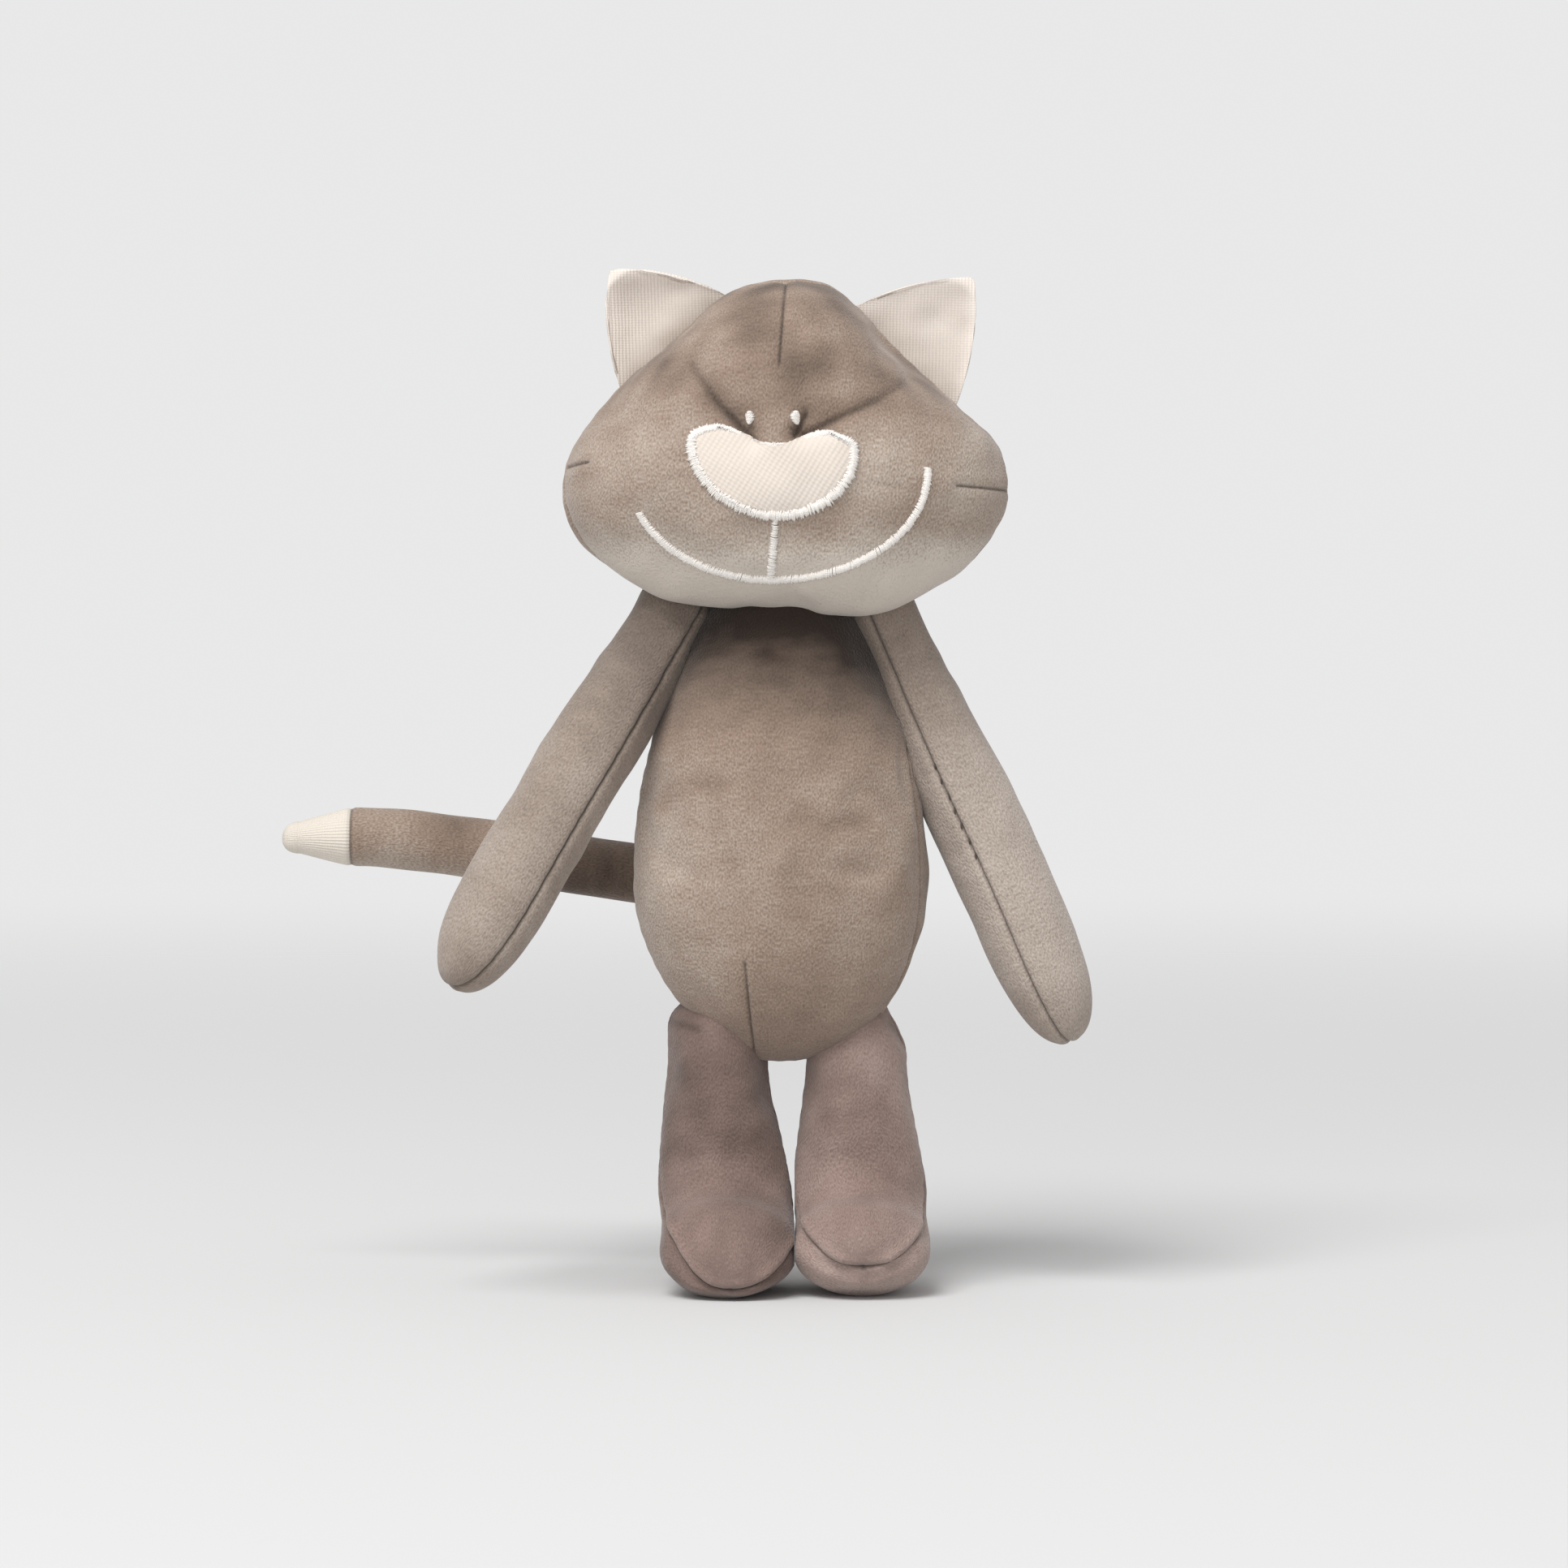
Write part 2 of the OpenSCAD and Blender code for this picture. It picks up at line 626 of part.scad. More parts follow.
module leg_front_panel(side) {
    leg_panel(side, FRONT);
}

module leg_sole_panel(side) {
    leg_panel(side, BACK);
}

module leg_stuffing(side) {
    color(white_fill) translate(hip(side))
        stuffed(leg_grid(side, -cloth - fill_gap, full_turn(limb_steps)));
}

// Tail, a tube that leaves the back and runs behind the right arm

tail_root_rows = 3;
tail_rows = 6;
tip_rows = 5;
tip_roundness = 2.2;
tip_round = 6;
tip_start = tail_length - tip_length;
function tail_radius(s, grow) =
    s < 0 ? (tail_width / 2 + grow) * swell(s / (tail_width / 2 + grow), 2)
    : s < tip_start ? tail_width / 2 + grow
    : let (
        cone = mix(tail_width, tip_width, (s - tip_start) / (tip_length - tip_round)) / 2 + grow,
        over = (s - tail_length + tip_round) / (tip_round + grow)
    ) over < 0 ? cone : (tip_width / 2 + grow) * swell(over, tip_roundness);
// Middle of the tail at a distance s from its pivot, measured along X
function tail_middle(s) = let (t = max(0, s) / tail_length)
    [-s, -tail_hug * t * t, tail_lift * sin(90 * t)];
function tail_ring(s, grow, angles) = let (r = tail_radius(s, grow), m = tail_middle(s))
    [for (a = angles) m + [0, r * cos(a), r * sin(a)]];
function tail_root_levels(grow) = [
    for (i = [0 : tail_root_rows - 1]) -(tail_width / 2 + grow) * cos(90 * i / tail_root_rows)
];
function tail_shaft_levels() = [for (i = [0 : tail_rows]) tip_start * i / tail_rows];
function tip_levels(grow) = let (cone_end = tail_length - tip_round) concat(
    [tip_start, mix(tip_start, cone_end, 0.5)],
    [for (i = [0 : tip_rows]) cone_end + (tip_round + grow) * sin(90 * i / tip_rows)]
);
function tail_grid(levels, grow, angles) = [for (s = levels) tail_ring(s, grow, angles)];

module tail_tube() {
    angles = full_turn(2 * limb_steps);
    outer = tail_grid(concat(tail_root_levels(0), tail_shaft_levels()), 0, angles);
    inner = tail_grid(concat(tail_root_levels(-cloth), tail_shaft_levels()), -cloth, angles);
    color(velour) translate(tail_root) panel(outer, inner, rolled = true);
}

module tail_tip() {
    angles = full_turn(2 * limb_steps);
    outer = tail_grid(tip_levels(0), 0, angles);
    inner = tail_grid(tip_levels(-cloth), -cloth, angles);
    color(cream_knit) translate(tail_root) panel(outer, inner, rolled = true);
}

module tail_stuffing() {
    grow = -cloth - fill_gap;
    tip = tip_levels(grow);
    levels = concat(tail_root_levels(grow), tail_shaft_levels(), [for (i = [1 : len(tip) - 1]) tip[i]]);
    color(white_fill) translate(tail_root) stuffed(tail_grid(levels, grow, full_turn(limb_steps)));
}

body_front_panel();
body_back_panel();
body_stuffing();
neck_stitching();
head_front_panel();
head_back_panel();
head_stuffing();
nose_patch();
nose_border_stitching();
mouth_stitching();
philtrum_stitching();
eye_stitching(LEFT);  // left_eye_stitching
eye_stitching(RIGHT);  // right_eye_stitching
ear_front_panel(LEFT);  // left_ear_front_panel
ear_back_panel(LEFT);  // left_ear_back_panel
ear_front_panel(RIGHT);  // right_ear_front_panel
ear_back_panel(RIGHT);  // right_ear_back_panel
arm_outer_panel(LEFT);  // left_arm_outer_panel
arm_inner_panel(LEFT);  // left_arm_inner_panel
arm_stuffing(LEFT);  // left_arm_stuffing
left_arm_closing_stitches();
arm_outer_panel(RIGHT);  // right_arm_outer_panel
arm_inner_panel(RIGHT);  // right_arm_inner_panel
arm_stuffing(RIGHT);  // right_arm_stuffing
leg_front_panel(LEFT);  // left_leg_front_panel
leg_sole_panel(LEFT);  // left_leg_sole_panel
leg_stuffing(LEFT);  // left_leg_stuffing
leg_front_panel(RIGHT);  // right_leg_front_panel
leg_sole_panel(RIGHT);  // right_leg_sole_panel
leg_stuffing(RIGHT);  // right_leg_stuffing
tail_tube();
tail_tip();
tail_stuffing();
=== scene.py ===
# Looks of the stuffed cat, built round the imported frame.
# Lengths are in millimetres until a mesh is made. +Z is up and the face looks along -Y.

import json
import math

import bpy
import numpy as np
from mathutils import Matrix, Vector
from mathutils.bvhtree import BVHTree


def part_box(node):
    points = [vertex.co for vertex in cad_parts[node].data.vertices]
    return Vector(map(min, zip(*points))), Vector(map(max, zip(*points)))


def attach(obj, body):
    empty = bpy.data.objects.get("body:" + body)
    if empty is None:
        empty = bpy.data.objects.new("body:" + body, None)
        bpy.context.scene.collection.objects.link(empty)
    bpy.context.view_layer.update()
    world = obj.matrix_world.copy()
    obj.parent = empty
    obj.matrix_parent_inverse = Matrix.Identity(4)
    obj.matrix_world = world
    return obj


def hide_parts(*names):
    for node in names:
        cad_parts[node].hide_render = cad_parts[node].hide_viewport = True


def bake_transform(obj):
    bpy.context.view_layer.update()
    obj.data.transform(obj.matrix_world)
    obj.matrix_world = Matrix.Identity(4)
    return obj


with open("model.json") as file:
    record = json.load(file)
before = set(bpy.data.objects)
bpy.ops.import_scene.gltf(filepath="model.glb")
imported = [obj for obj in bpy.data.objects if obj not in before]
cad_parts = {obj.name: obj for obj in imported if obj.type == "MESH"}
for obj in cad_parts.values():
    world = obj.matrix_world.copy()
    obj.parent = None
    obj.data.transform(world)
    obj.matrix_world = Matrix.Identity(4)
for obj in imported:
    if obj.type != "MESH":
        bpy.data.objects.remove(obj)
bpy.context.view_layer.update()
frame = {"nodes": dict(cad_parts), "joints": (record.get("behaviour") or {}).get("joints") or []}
MM = 0.001

# Camera: width of the picture at the cat's middle, the point it looks at, and where it stands
PICTURE_WIDTH = 538
VIEW_CENTRE = (0.8, 0, 174)
CAMERA_DISTANCE = 1900
CAMERA_ELEVATION = 2
SENSOR_WIDTH = 36

# Studio: the sky's levels from straight down (0) to straight up (1), the floor and its rings,
# each lamp's place, size and power, and the point that the lamps face
SKY = ((0.0, 0.2), (0.27, 0.25), (0.33, 0.81), (0.56, 0.81), (0.62, 0.45), (1.0, 0.6))
FLOOR_COLOUR = (0.66, 0.66, 0.66, 1)
FLOOR_CLEAR = 500
FLOOR_REACH = 2600
FLOOR_RINGS = (1, *np.linspace(200, FLOOR_REACH, 24))
FLOOR_COLUMNS = 96
LAMPS = {"key": ((-1500, -2800, 4800), 2800, 260), "fill": ((-700, -4400, 1300), 3000, 40)}
LAMP_AIM = (0, 0, 180)

# Sides of the cat, with their signs along X
SIDES = {"left": 1, "right": -1}


def pair(left, right):
    return {"left": left, "right": right}


def joint_value(name, key):
    return next(np.array(joint[key]) for joint in frame["joints"] if joint["name"] == name)


def joint_place(name):
    return joint_value(name, "pos_m") / MM


def node_box(node):
    low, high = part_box(node)
    return np.array(low) / MM, np.array(high) / MM


# A row of three numbers below is a ramp or a bump, unless a comment says otherwise. A ramp has an amount,
# a start and the length over which it grows, downwards if that is negative. A bump has an amount, a place
# and a width. Lumps have a height and a size. Columns have a count, the angles where they lie closer
# together, how near to these, and how much.

# Cloth and its seams
CLOTH = 1.2
EDGE_GATHER = 1.3
SEAM_SHAPE = ((-1.1, 0, 0.65), (0.3, 2.8, 1.8))
# Width of the painted shade line along each seam
SEAM_LINE = 0.4
PUCKER = (0.12, 1, 5)
PUCKER_PITCH = 7.5
PUCKER_SWAY = 2
PUCKER_SWAY_LENGTH = 11
UV_UNIT = 100
FINE_STEPS = 4000
SMUDGES = ((0.04, 32), (0.025, 12))
# Seeds of the lumps and the threads
SEEDS = {
    "body_front": 11, "body_back": 21, "head_front": 31, "head_back": 41, "ear": 51, "face": 7,
    "left_arm": 61, "right_arm": 71, "arm_nap": 62, "closing": 9,
    "left_leg": 81, "right_leg": 91, "leg_nap": 82, "toe_lip": 85, "tail": 101, "tail_nap": 111,
}
# Cloth pass: frames, pressure of the stuffing, spare cloth, coarse cells in grid steps, rounds of softening,
# how far from a seam the cloth is free, rows at a grid's ends that move as one, and the cap on movement
CLOTH_FRAMES = 20
STUFFING_PRESSURE = 4
CLOTH_EASE = 0.015
CLOTH_CELL = 4
CLOTH_BLUR = 6
CLOTH_SEAM_FADE = 8
CLOTH_POLE_ROWS = 6
CLOTH_REACH = {"pillow": 1.6, "arm": 0.5, "leg": 0.9}
# How much the painted shade in creases, seams and folds covers the cloth, and its share of the darkest tone
CREASE_SHADE_SHARE = 0.6
CREASE_SHADE_TONE = 0.22
# Shine of cloth, the grain's share of the velour's tone, the pitch of a rib's loops beside that of the ribs,
# and how much a rib's height lightens it, partly the yarn's own pattern and partly painted light on the
# raised ribs
SPECULAR = 0.15
VELOUR_GRAIN = 0.55
LOOP_PITCH = 0.75
RIB_TONE = 0.5

# Body
BODY_LOW, BODY_HIGH = node_box("body_front_panel")
BODY_HALF_WIDTH = BODY_HIGH[0]
BODY_HALF_DEPTH = -BODY_LOW[1]
BODY_REACH = pair(BODY_HALF_WIDTH - 0.8, BODY_HALF_WIDTH + 0.6)
BELLY_DROP = 63
BELLY_ROUNDNESS = pair(2.05, 1.9)
BELLY_SHIFT = 1
SHOULDER_RISE = 108
SHOULDER_ROUNDNESS = 1.84
WAIST_Z = BODY_LOW[2] + BELLY_DROP
BODY_MIDDLE = (0, WAIST_Z + 8)
BODY_COLUMNS = (300, [math.radians(256)], math.radians(8), 3)
BODY_RINGS = {"front": 68, "back": 50}
BODY_DART = ((-12.5, 115), (-11.2, 100), (-9.2, 81))
BODY_DART_SHAPE = ((-0.9, 0, 0.6), (0.3, 3, 2.2))
# Soft dents in the belly: a line and its width
BODY_DENTS = ((((-40, 168), (-30, 174), (-22, 175)), 4.5), (((6, 164), (16, 160), (28, 162)), 4))
DENT_DEPTH = 1.1
FLANK_TURN = (16, 215, -40)
FLANK_REACH = 75
# Tone of the body: painted light on the flanks, most on the right, the painted shadow of the head on the
# chest, and painted shade in the dents, beside the arms and, in part, low on the belly
BODY_NAP = {"front": 0.53, "back": 0.52}
BODY_SMUDGES = 0.7
FLANK_LIGHT = ((0.13, 0, -50), (0.02, 0, 50))
CHEST_SHADE = (-0.62, 176, 62)
BELLY_SHADE = (-0.14, 118, -35)
DENT_SHADE = 0.08
ARMPITS = (((29, 224), (39, 192)), ((-33, 224), (-46, 192)))
ARMPIT_SHADE = (-0.16, 0, 9)

# Head
FACE_DEPTH = -node_box("head_front_panel")[0][1]
NAPE_DEPTH = node_box("head_back_panel")[1][1]
HEAD_MIDDLE = (0, 281)
HEAD_FULLNESS = 2.15
HEAD_COLUMNS = (340, [math.radians(angle) for angle in (355, 90, 179)], math.radians(3), 4)
HEAD_RINGS = {"front": 82, "back": 46}
# Edge seam in the front view, from the crown round by the cat's left
HEAD_OUTLINE = (
    (13, 344.4), (25, 337.5), (39.5, 322.5), (61, 302.5), (73.2, 290.5), (77, 277), (74.3, 264), (65, 252),
    (51, 243.5), (36, 236.5), (18, 234), (-4, 235.5), (-30, 237.5), (-49, 243.5), (-64.5, 254.5),
    (-71.8, 266.5), (-73.2, 278), (-69.5, 291), (-56.5, 308), (-39, 323.5), (-21, 339.3), (-7, 344),
)
# Places round the edge, in degrees, where the seam is pulled forward and the back panel stands up behind it
HEAD_SEAM_PULLS = ((5, 90, 18), (6, 192, 20), (6, 318, 22))
HEAD_PULL_POWER = 6
HEAD_RIM = (2, 6, 5)
CHIN_DROOP = (4.5, -22, 15)
CHIN_DROOP_TOP = (1, 258, -16)
CROWN_DART = ((1.4, 345), (-0.8, 316.5))
CHEEK_DARTS = (((-76, 281.5), (-65.4, 283.6)), ((59, 275.6), (77, 274.2)))
HEAD_DART_SHAPE = ((-0.8, 0, 0.55), (0.3, 3, 2))
BRIDGE_FOLDS = (
    ((-9.7, 291), (-13.4, 294.6), (-23, 305), (-31, 317)),
    ((4.8, 292.8), (8.4, 299.5)),
    ((8.1, 292.8), (31.3, 304), (43, 311.5)),
)
FOLD_WIDTH = 4
FOLD_DEPTH = 2
# Painted shade in each fold
FOLD_SHADE = 0.16
FOLD_FADE = (-0.7, 0, 52)
# The sharp line in the middle of each fold, with its painted shade
FOLD_LINE = 1.1
FOLD_LINE_DEPTH = 1.2
FOLD_LINE_SHADE = 0.15
FOLD_LINE_CREASE_SHADE = 0.5
# Tone of the head: darker over the forehead, lighter towards the cheeks, and painted light on the chin
HEAD_NAP = {"front": 0.62, "back": 0.55}
FOREHEAD = (1, 285, 35)
FOREHEAD_SHADE = 0.24
FOREHEAD_SMUDGES = 1.8
CHEEK_LIGHT = (0.04, 0, 70)
CHIN_LIGHT = (0.6, 264, -24)

# Body and head: what each rides on, its fill and its middle, the lumps in its stuffing, how far from a seam
# they are full, and how far behind the seams the front panel's painted light and shade have faded
PILLOWS = {"body": ("torso", 0.8, BODY_MIDDLE), "head": ("head", 0.85, HEAD_MIDDLE)}
PILLOW_LUMPS = ((0.7, 48), (0.245, 17))
PILLOW_LUMP_FADE = 12
SHADING_FADE_DEPTH = 36

# Face
FACE_SHIFT = -3
NOSE_Z = 288
NOSE_HALF_WIDTH = 27
NOSE_LOBE = 6.9
NOSE_LOBE_POWER = 0.7
NOSE_DIP = (-6.2, 0.72, -0.62)
NOSE_DROP = 22.3
NOSE_ROUNDNESS = 1.95
NOSE_TILT = -0.06
# Nose patch: rings and columns, growth under its border, height at its edge and how much more in its middle
PATCH_GRID = (22, 120)
PATCH_GROWTH = 0.3
PATCH_LIFT = 0.2
PATCH_PUFF = 1.4
PATCH_ROUNDNESS = 3
PATCH_NAP = 0.5
# Border of the patch: it is narrower along the top, and the brow hides some of it at the dip
BORDER_WIDTH = 3.5
BORDER_GROWTH = 0.2
BORDER_TOP_LOSS = 0.3
BORDER_DIP_LOSS = (0.25, 0.25, 0.055)
STITCH_WIDTH = 2.6
STITCH_SINK = -0.15
STITCH_DRIFT = 0.08
SMILE_BOTTOM_Z = 243.8
SMILE_REACH = pair(52, 48.5)
SMILE_HEIGHT = 36.2
SMILE_ANGLES = (-158, 2)
LIP_LINE_TOP_Z = NOSE_Z - NOSE_DROP - 1
LIP_LINE_SHIFT = (1, -0.6)
LIP_LINE_WIDTH = (2.1, 3.5)
EYE_Z = 298.2
EYE_X = pair(FACE_SHIFT + 7.6, FACE_SHIFT - 7.6)
EYE_SIZE = (3.2, 4.2)
EYE_END_WIDTH = 0.3
EYE_FULLEST = 0.8
EYE_ROUNDNESS = 0.6
# Painted shadow line under each eye: its ends from the eye's middle, its width and its tone
EYE_PIT = ((-1, -3.4), (1, -3))
EYE_PIT_WIDTH = 1
EYE_PIT_SHADE = 0.7
# Threads: points along one, share of the radius at its ends, a direction that none of them follows,
# and the step of the twist from one thread to the next
THREAD_POINTS = 5
THREAD_END = 0.55
THREAD_ASIDE = (0.31, 0.17, 0.93)
THREAD_TWIST_STEP = 0.37
# Where the rays start that find the face's cloth, far in front of it
RAY_START_Y = -300

# Ears
EAR_GRID = (36, 49)
EAR_TIP_GATHER = 1.3
EAR_WIDTH = 50
EAR_HEIGHT = pair(38, 35.6)
EAR_ROUNDNESS = 1.25
EAR_HOLLOW = pair(3, 5)
EAR_HOLLOW_TOP = 0.9
EAR_THICKNESS = 2.6
EAR_FLATNESS = 7
EAR_TIP_TAPER = 0.12
EAR_CLOTH = 0.7
EAR_RIM = 0.5
EAR_TUCK = 7.5
EAR_SLIDE = pair(-1.8, 5)
EAR_LUMPS = (0.2, 12)
EAR_NAP = 0.72
# Painted shade at the base of each ear, where the head overhangs it, and painted sheen along its edges
EAR_BASE_SHADE = pair((-0.35, -6, 8), (-0.6, -6, 8))
EAR_EDGE_LIGHT = (0.25, 0, 3.5)

# Limbs
LIMB_SEAMS = ([0, math.pi], 0.16, 2.5)
LIMB_LUMP_FADE = 10

# Arms
ARM_COLUMNS = (88, *LIMB_SEAMS)
ARM_ROWS = {"hand": 34, "shaft": 80, "dome": 14}
ARM_LENGTH = pair(155, 148)
ARM_ROOT_RADIUS = pair(12, 13.4)
ARM_ROOT_RISE = 5
ARM_ROOT_DOME = 12
ARM_ROOT_DOME_TURN = 0.48 * math.pi
ARM_RADIUS = pair(16.3, 15.4)
ARM_FULL_AT = pair(70, 62)
ARM_HAND_START = 108
HAND_ROUNDNESS = 2.4
ARM_SPLAY = pair(22.5, 27.5)
ARM_REACH = pair(0, 23)
ARM_SEAM_TURN = pair(20, 48)
ARM_OUT = pair(0, 1.6)
ARM_ROOT_TUCK = pair((4.4, 115, -120), (2, 85, -90))
ARM_LUMPS = ((0.2, 36), (0.06, 13))
# Gathers below the shoulder: how many waves go round, where they start, their pitch and how far they sway
ARM_GATHERS = (0.4, 22, 9)
ARM_GATHER_WAVES = 3
ARM_GATHER_START = 1.1
ARM_GATHER_PITCH = 3.4
ARM_GATHER_SWAY = 2
ARM_NAP = pair(0.80, 0.57)
# Painted shade at the shoulder, darker towards the hand, and painted shade along the seams
ARM_ROOT_SHADE = pair((-0.4, 5, 42), (-0.28, 5, 42))
ARM_HAND_SHADE = pair((-0.2, 120, 35), (-0.1, 120, 35))
ARM_SEAM_SHADE = 0.65
CLOSING_START = 50
CLOSING_PITCH = 5.5
CLOSING_COUNT = 7
CLOSING_HALF_LENGTH = 1.3
CLOSING_SINK = 0.9
CLOSING_RISE = 0.6
CLOSING_LEAN = 0.5
CLOSING_DRIFT = 0.25

# Legs
LEG_COLUMNS = (96, *LIMB_SEAMS)
LEG_ROWS = {"toe": 30, "ankle": 26, "shin": 40}
LEG_ROOT = 17.4
LEG_TOP_WIDTH = 17
LEG_LEAST_WIDTH = 0.1
FOOT_HALF_WIDTH = 22.8
LEG_WIDENING = (FOOT_HALF_WIDTH - LEG_TOP_WIDTH, -16, 54)
ANKLE_HEIGHT = 49.5
ANKLE_BEND = 34
ANKLE_ANGLE = 75
TOE_LENGTH = 18
TOE_ROUNDNESS = 2.1
HEEL_SWELL = 0.9
ANKLE_BACK = 8
INSTEP = 18
LEG_SHIFT = pair(1.2, 2.6)
FOOT_SHIFT = pair(3.4, 7.6)
FEET_MEET_X = 4.4
FEET_GAP = 0.05
LEG_TOP_RISE = 40
LEG_TOP_ROUND = pair(26, 15)
LEG_TOP_NARROWING = 0.55
TOE_DROP = pair(0, 8)
# Turn of a foot's seam towards the sole, at its +X and its -X edge
FOOT_SEAM_TURN = pair((-24, -28), (-8, -28))
SOLE_FLAT = 0.8
SOLE_LEAST_DEPTH = 0.2
TOE_SPRING = pair(7, 4)
TOE_END = (1, 28, 30)
TOE_LIP = (0.9, 2.2, 2.4)
TOE_LIP_LUMPS = (0.5, 12)
TOE_TIP_FADE = 9
SOLE_SINK = (-1.4, 2, 3)
LEG_LUMPS = ((0.5, 36), (0.15, 13))
LEG_UV_RADIUS = 20
HIP_FOLDS = pair(((37.6, 92.4), (43, 84.6)), ((-38, 93), (-29, 91)))
HIP_FOLD_WIDTH = 1.8
HIP_FOLD_DEPTH = 0.9
# Painted shade in the hip folds
HIP_FOLD_SHADE = 0.15
FOOT_NAP = pair(0.5, 0.36)
SHIN_NAP = pair(0.58, 0.32)
SHIN_START = (1, 30, 40)
SOLE_NAP = pair(0.18, -0.06)
FOOT_LIGHT = (0.06, 20, 26)
# Painted sheen on the ridge beside each toe seam
TOE_EDGE_LIGHT = (0.1, 1.5, 2.5)
LEG_SMUDGES = 1.4

# Tail
TAIL_COLUMNS = 49
TAIL_ROWS = {"dome": 16, "tube": 120, "tip_end": 12, "tip": 26}
TAIL_RADIUS = 10.6
TAIL_LENGTH = 175
TIP_START = TAIL_LENGTH - 24
TIP_RADIUS = 5.5
TIP_ROUND = 6
TIP_ROUNDNESS = 2.2
TAIL_LIFT = 18.9
TAIL_LIFT_TURN = 105
TAIL_LIFT_POWER = 1.45
TAIL_HUG = 8
TAIL_SINK = 2.2
# The rounded end beyond the tail's joint, how far it sinks into the body, and how that fades
TAIL_ROOT_LENGTH = 12
TAIL_ROOT_TUCK = 17
TAIL_TUCK_END = (1, -10, 26)
TAIL_TUCK_POWER = 1.5
TAIL_JOIN = (-0.7, 0, 0.9)
# Width of the painted shade line at the tip's join
TAIL_JOIN_LINE = 0.6
TAIL_LUMPS = (0.3, 26)
TAIL_NAP = 0.56
TAIL_NAP_LUMPS = (0.13, 30)
# Painted shadow on the tail near the body
TAIL_SHADE = (-0.46, 46, 34)
TIP_NAP = 0.65
# Radius of a row that stands for one point
POINT_RADIUS = 0.01


# Small sums

def smooth(t):
    t = np.clip(t, 0, 1)
    return t * t * (3 - 2 * t)


def mix(a, b, t):
    return a + (b - a) * t


def swell(t, roundness):
    return np.maximum(0, 1 - np.minimum(1, np.abs(t)) ** roundness) ** (1 / roundness)


def hill(gap, width):
    return np.exp(-((gap / width) ** 2))


def unit(v):
    return v / np.maximum(np.linalg.norm(v, axis=-1, keepdims=True), 1e-9)


def ramps(value, *parts):
    return sum(amount * smooth((value - start) / length) for amount, start, length in parts)


def bumps(value, *parts):
    return sum(amount * hill(value - place, width) for amount, place, width in parts)


def field(points, size, seed, waves=14):
    """A smooth random field over points, about -1 to 1, with features of the given size."""
    rng = np.random.default_rng(seed)
    directions = unit(rng.normal(size=(waves, 3))) * rng.uniform(0.6, 1.4, (waves, 1)) * math.tau / size
    phases = rng.uniform(0, math.tau, waves)
    return np.sin(points @ directions.T + phases).sum(-1) / math.sqrt(waves)


def lumps(points, seed, *layers):
    """Random fields added up, each given as its height and size."""
    return sum(height * field(points, size, seed + k) for k, (height, size) in enumerate(layers))


def smudges(points, seed):
    """Soft light and dark places where the pile is stroked different ways."""
    return lumps(points, seed, *SMUDGES)


def gathered(count, marks, width, share):
    """Angles round a circle that lie closer together round each mark."""
    t = np.linspace(0, math.tau, FINE_STEPS + 1)
    density = np.ones_like(t)
    for mark in marks:
        gap = (t - mark + math.pi) % math.tau - math.pi
        density += share * hill(gap, width)
    total = np.concatenate([[0], np.cumsum((density[1:] + density[:-1]) / 2)])
    return np.interp(np.arange(count) / count * total[-1], total, t)


def line_gap(x, z, line):
    """Distance in the front view from points to a bent line."""
    gap = np.full(np.shape(x), np.inf)
    for (x0, z0), (x1, z1) in zip(line, line[1:]):
        dx, dz = x1 - x0, z1 - z0
        t = np.clip(((x - x0) * dx + (z - z0) * dz) / (dx * dx + dz * dz), 0, 1)
        gap = np.minimum(gap, np.hypot(x - x0 - t * dx, z - z0 - t * dz))
    return gap


def closed_curve(points, steps=40):
    """A smooth closed curve through points."""
    p = np.array(points, float)
    before, after, beyond = np.roll(p, 1, 0), np.roll(p, -1, 0), np.roll(p, -2, 0)
    t = (np.arange(steps) / steps)[None, :, None]
    a, b, c, d = (q[:, None, :] for q in (before, p, after, beyond))
    curve = b + 0.5 * t * (c - a + t * (2 * a - 5 * b + 4 * c - d + t * (3 * (b - c) + d - a)))
    return curve.reshape(-1, 2)


def reach_round(curve, centre, angles):
    """Distance from a centre to a closed curve at each angle."""
    gap = curve - np.array(centre)
    angle = np.arctan2(gap[:, 1], gap[:, 0]) % math.tau
    order = np.argsort(angle)
    return np.interp(angles, angle[order], np.hypot(gap[:, 0], gap[:, 1])[order], period=math.tau)


# Grids of points and the panels made from them

def grid_normals(grid, closed, middle):
    """Normals of a grid of points that face away from the form's middle; its first row is one point."""
    if closed:
        across = np.roll(grid, -1, 1) - np.roll(grid, 1, 1)
    else:
        across = np.gradient(grid, axis=1)
    normal = unit(np.cross(np.gradient(grid, axis=0), across))
    if np.sum(normal * (grid - middle)) < 0:
        normal = -normal
    normal[0] = unit(normal[1].mean(0))
    return normal


def row_lengths(grid):
    """Distance from the first row of a grid, measured along each column."""
    steps = np.linalg.norm(np.diff(grid, axis=0), axis=2)
    return np.vstack([np.zeros((1, grid.shape[1])), np.cumsum(steps, axis=0)])


def seam_shape(gap, along):
    """Height of the cloth beside a seam, at a distance from it and a place along it."""
    sway = PUCKER_SWAY * np.sin(along / PUCKER_SWAY_LENGTH)
    wave = np.sin(along * math.tau / PUCKER_PITCH + sway)
    return bumps(gap, *SEAM_SHAPE) + wave * bumps(gap, PUCKER)


# Painted shade along a seam, from the distance to it
def seam_shade_line(gap):
    return hill(gap, SEAM_LINE)


def linked(name, data):
    """A new object in the scene."""
    obj = bpy.data.objects.new(name, data)
    bpy.context.scene.collection.objects.link(obj)
    return obj


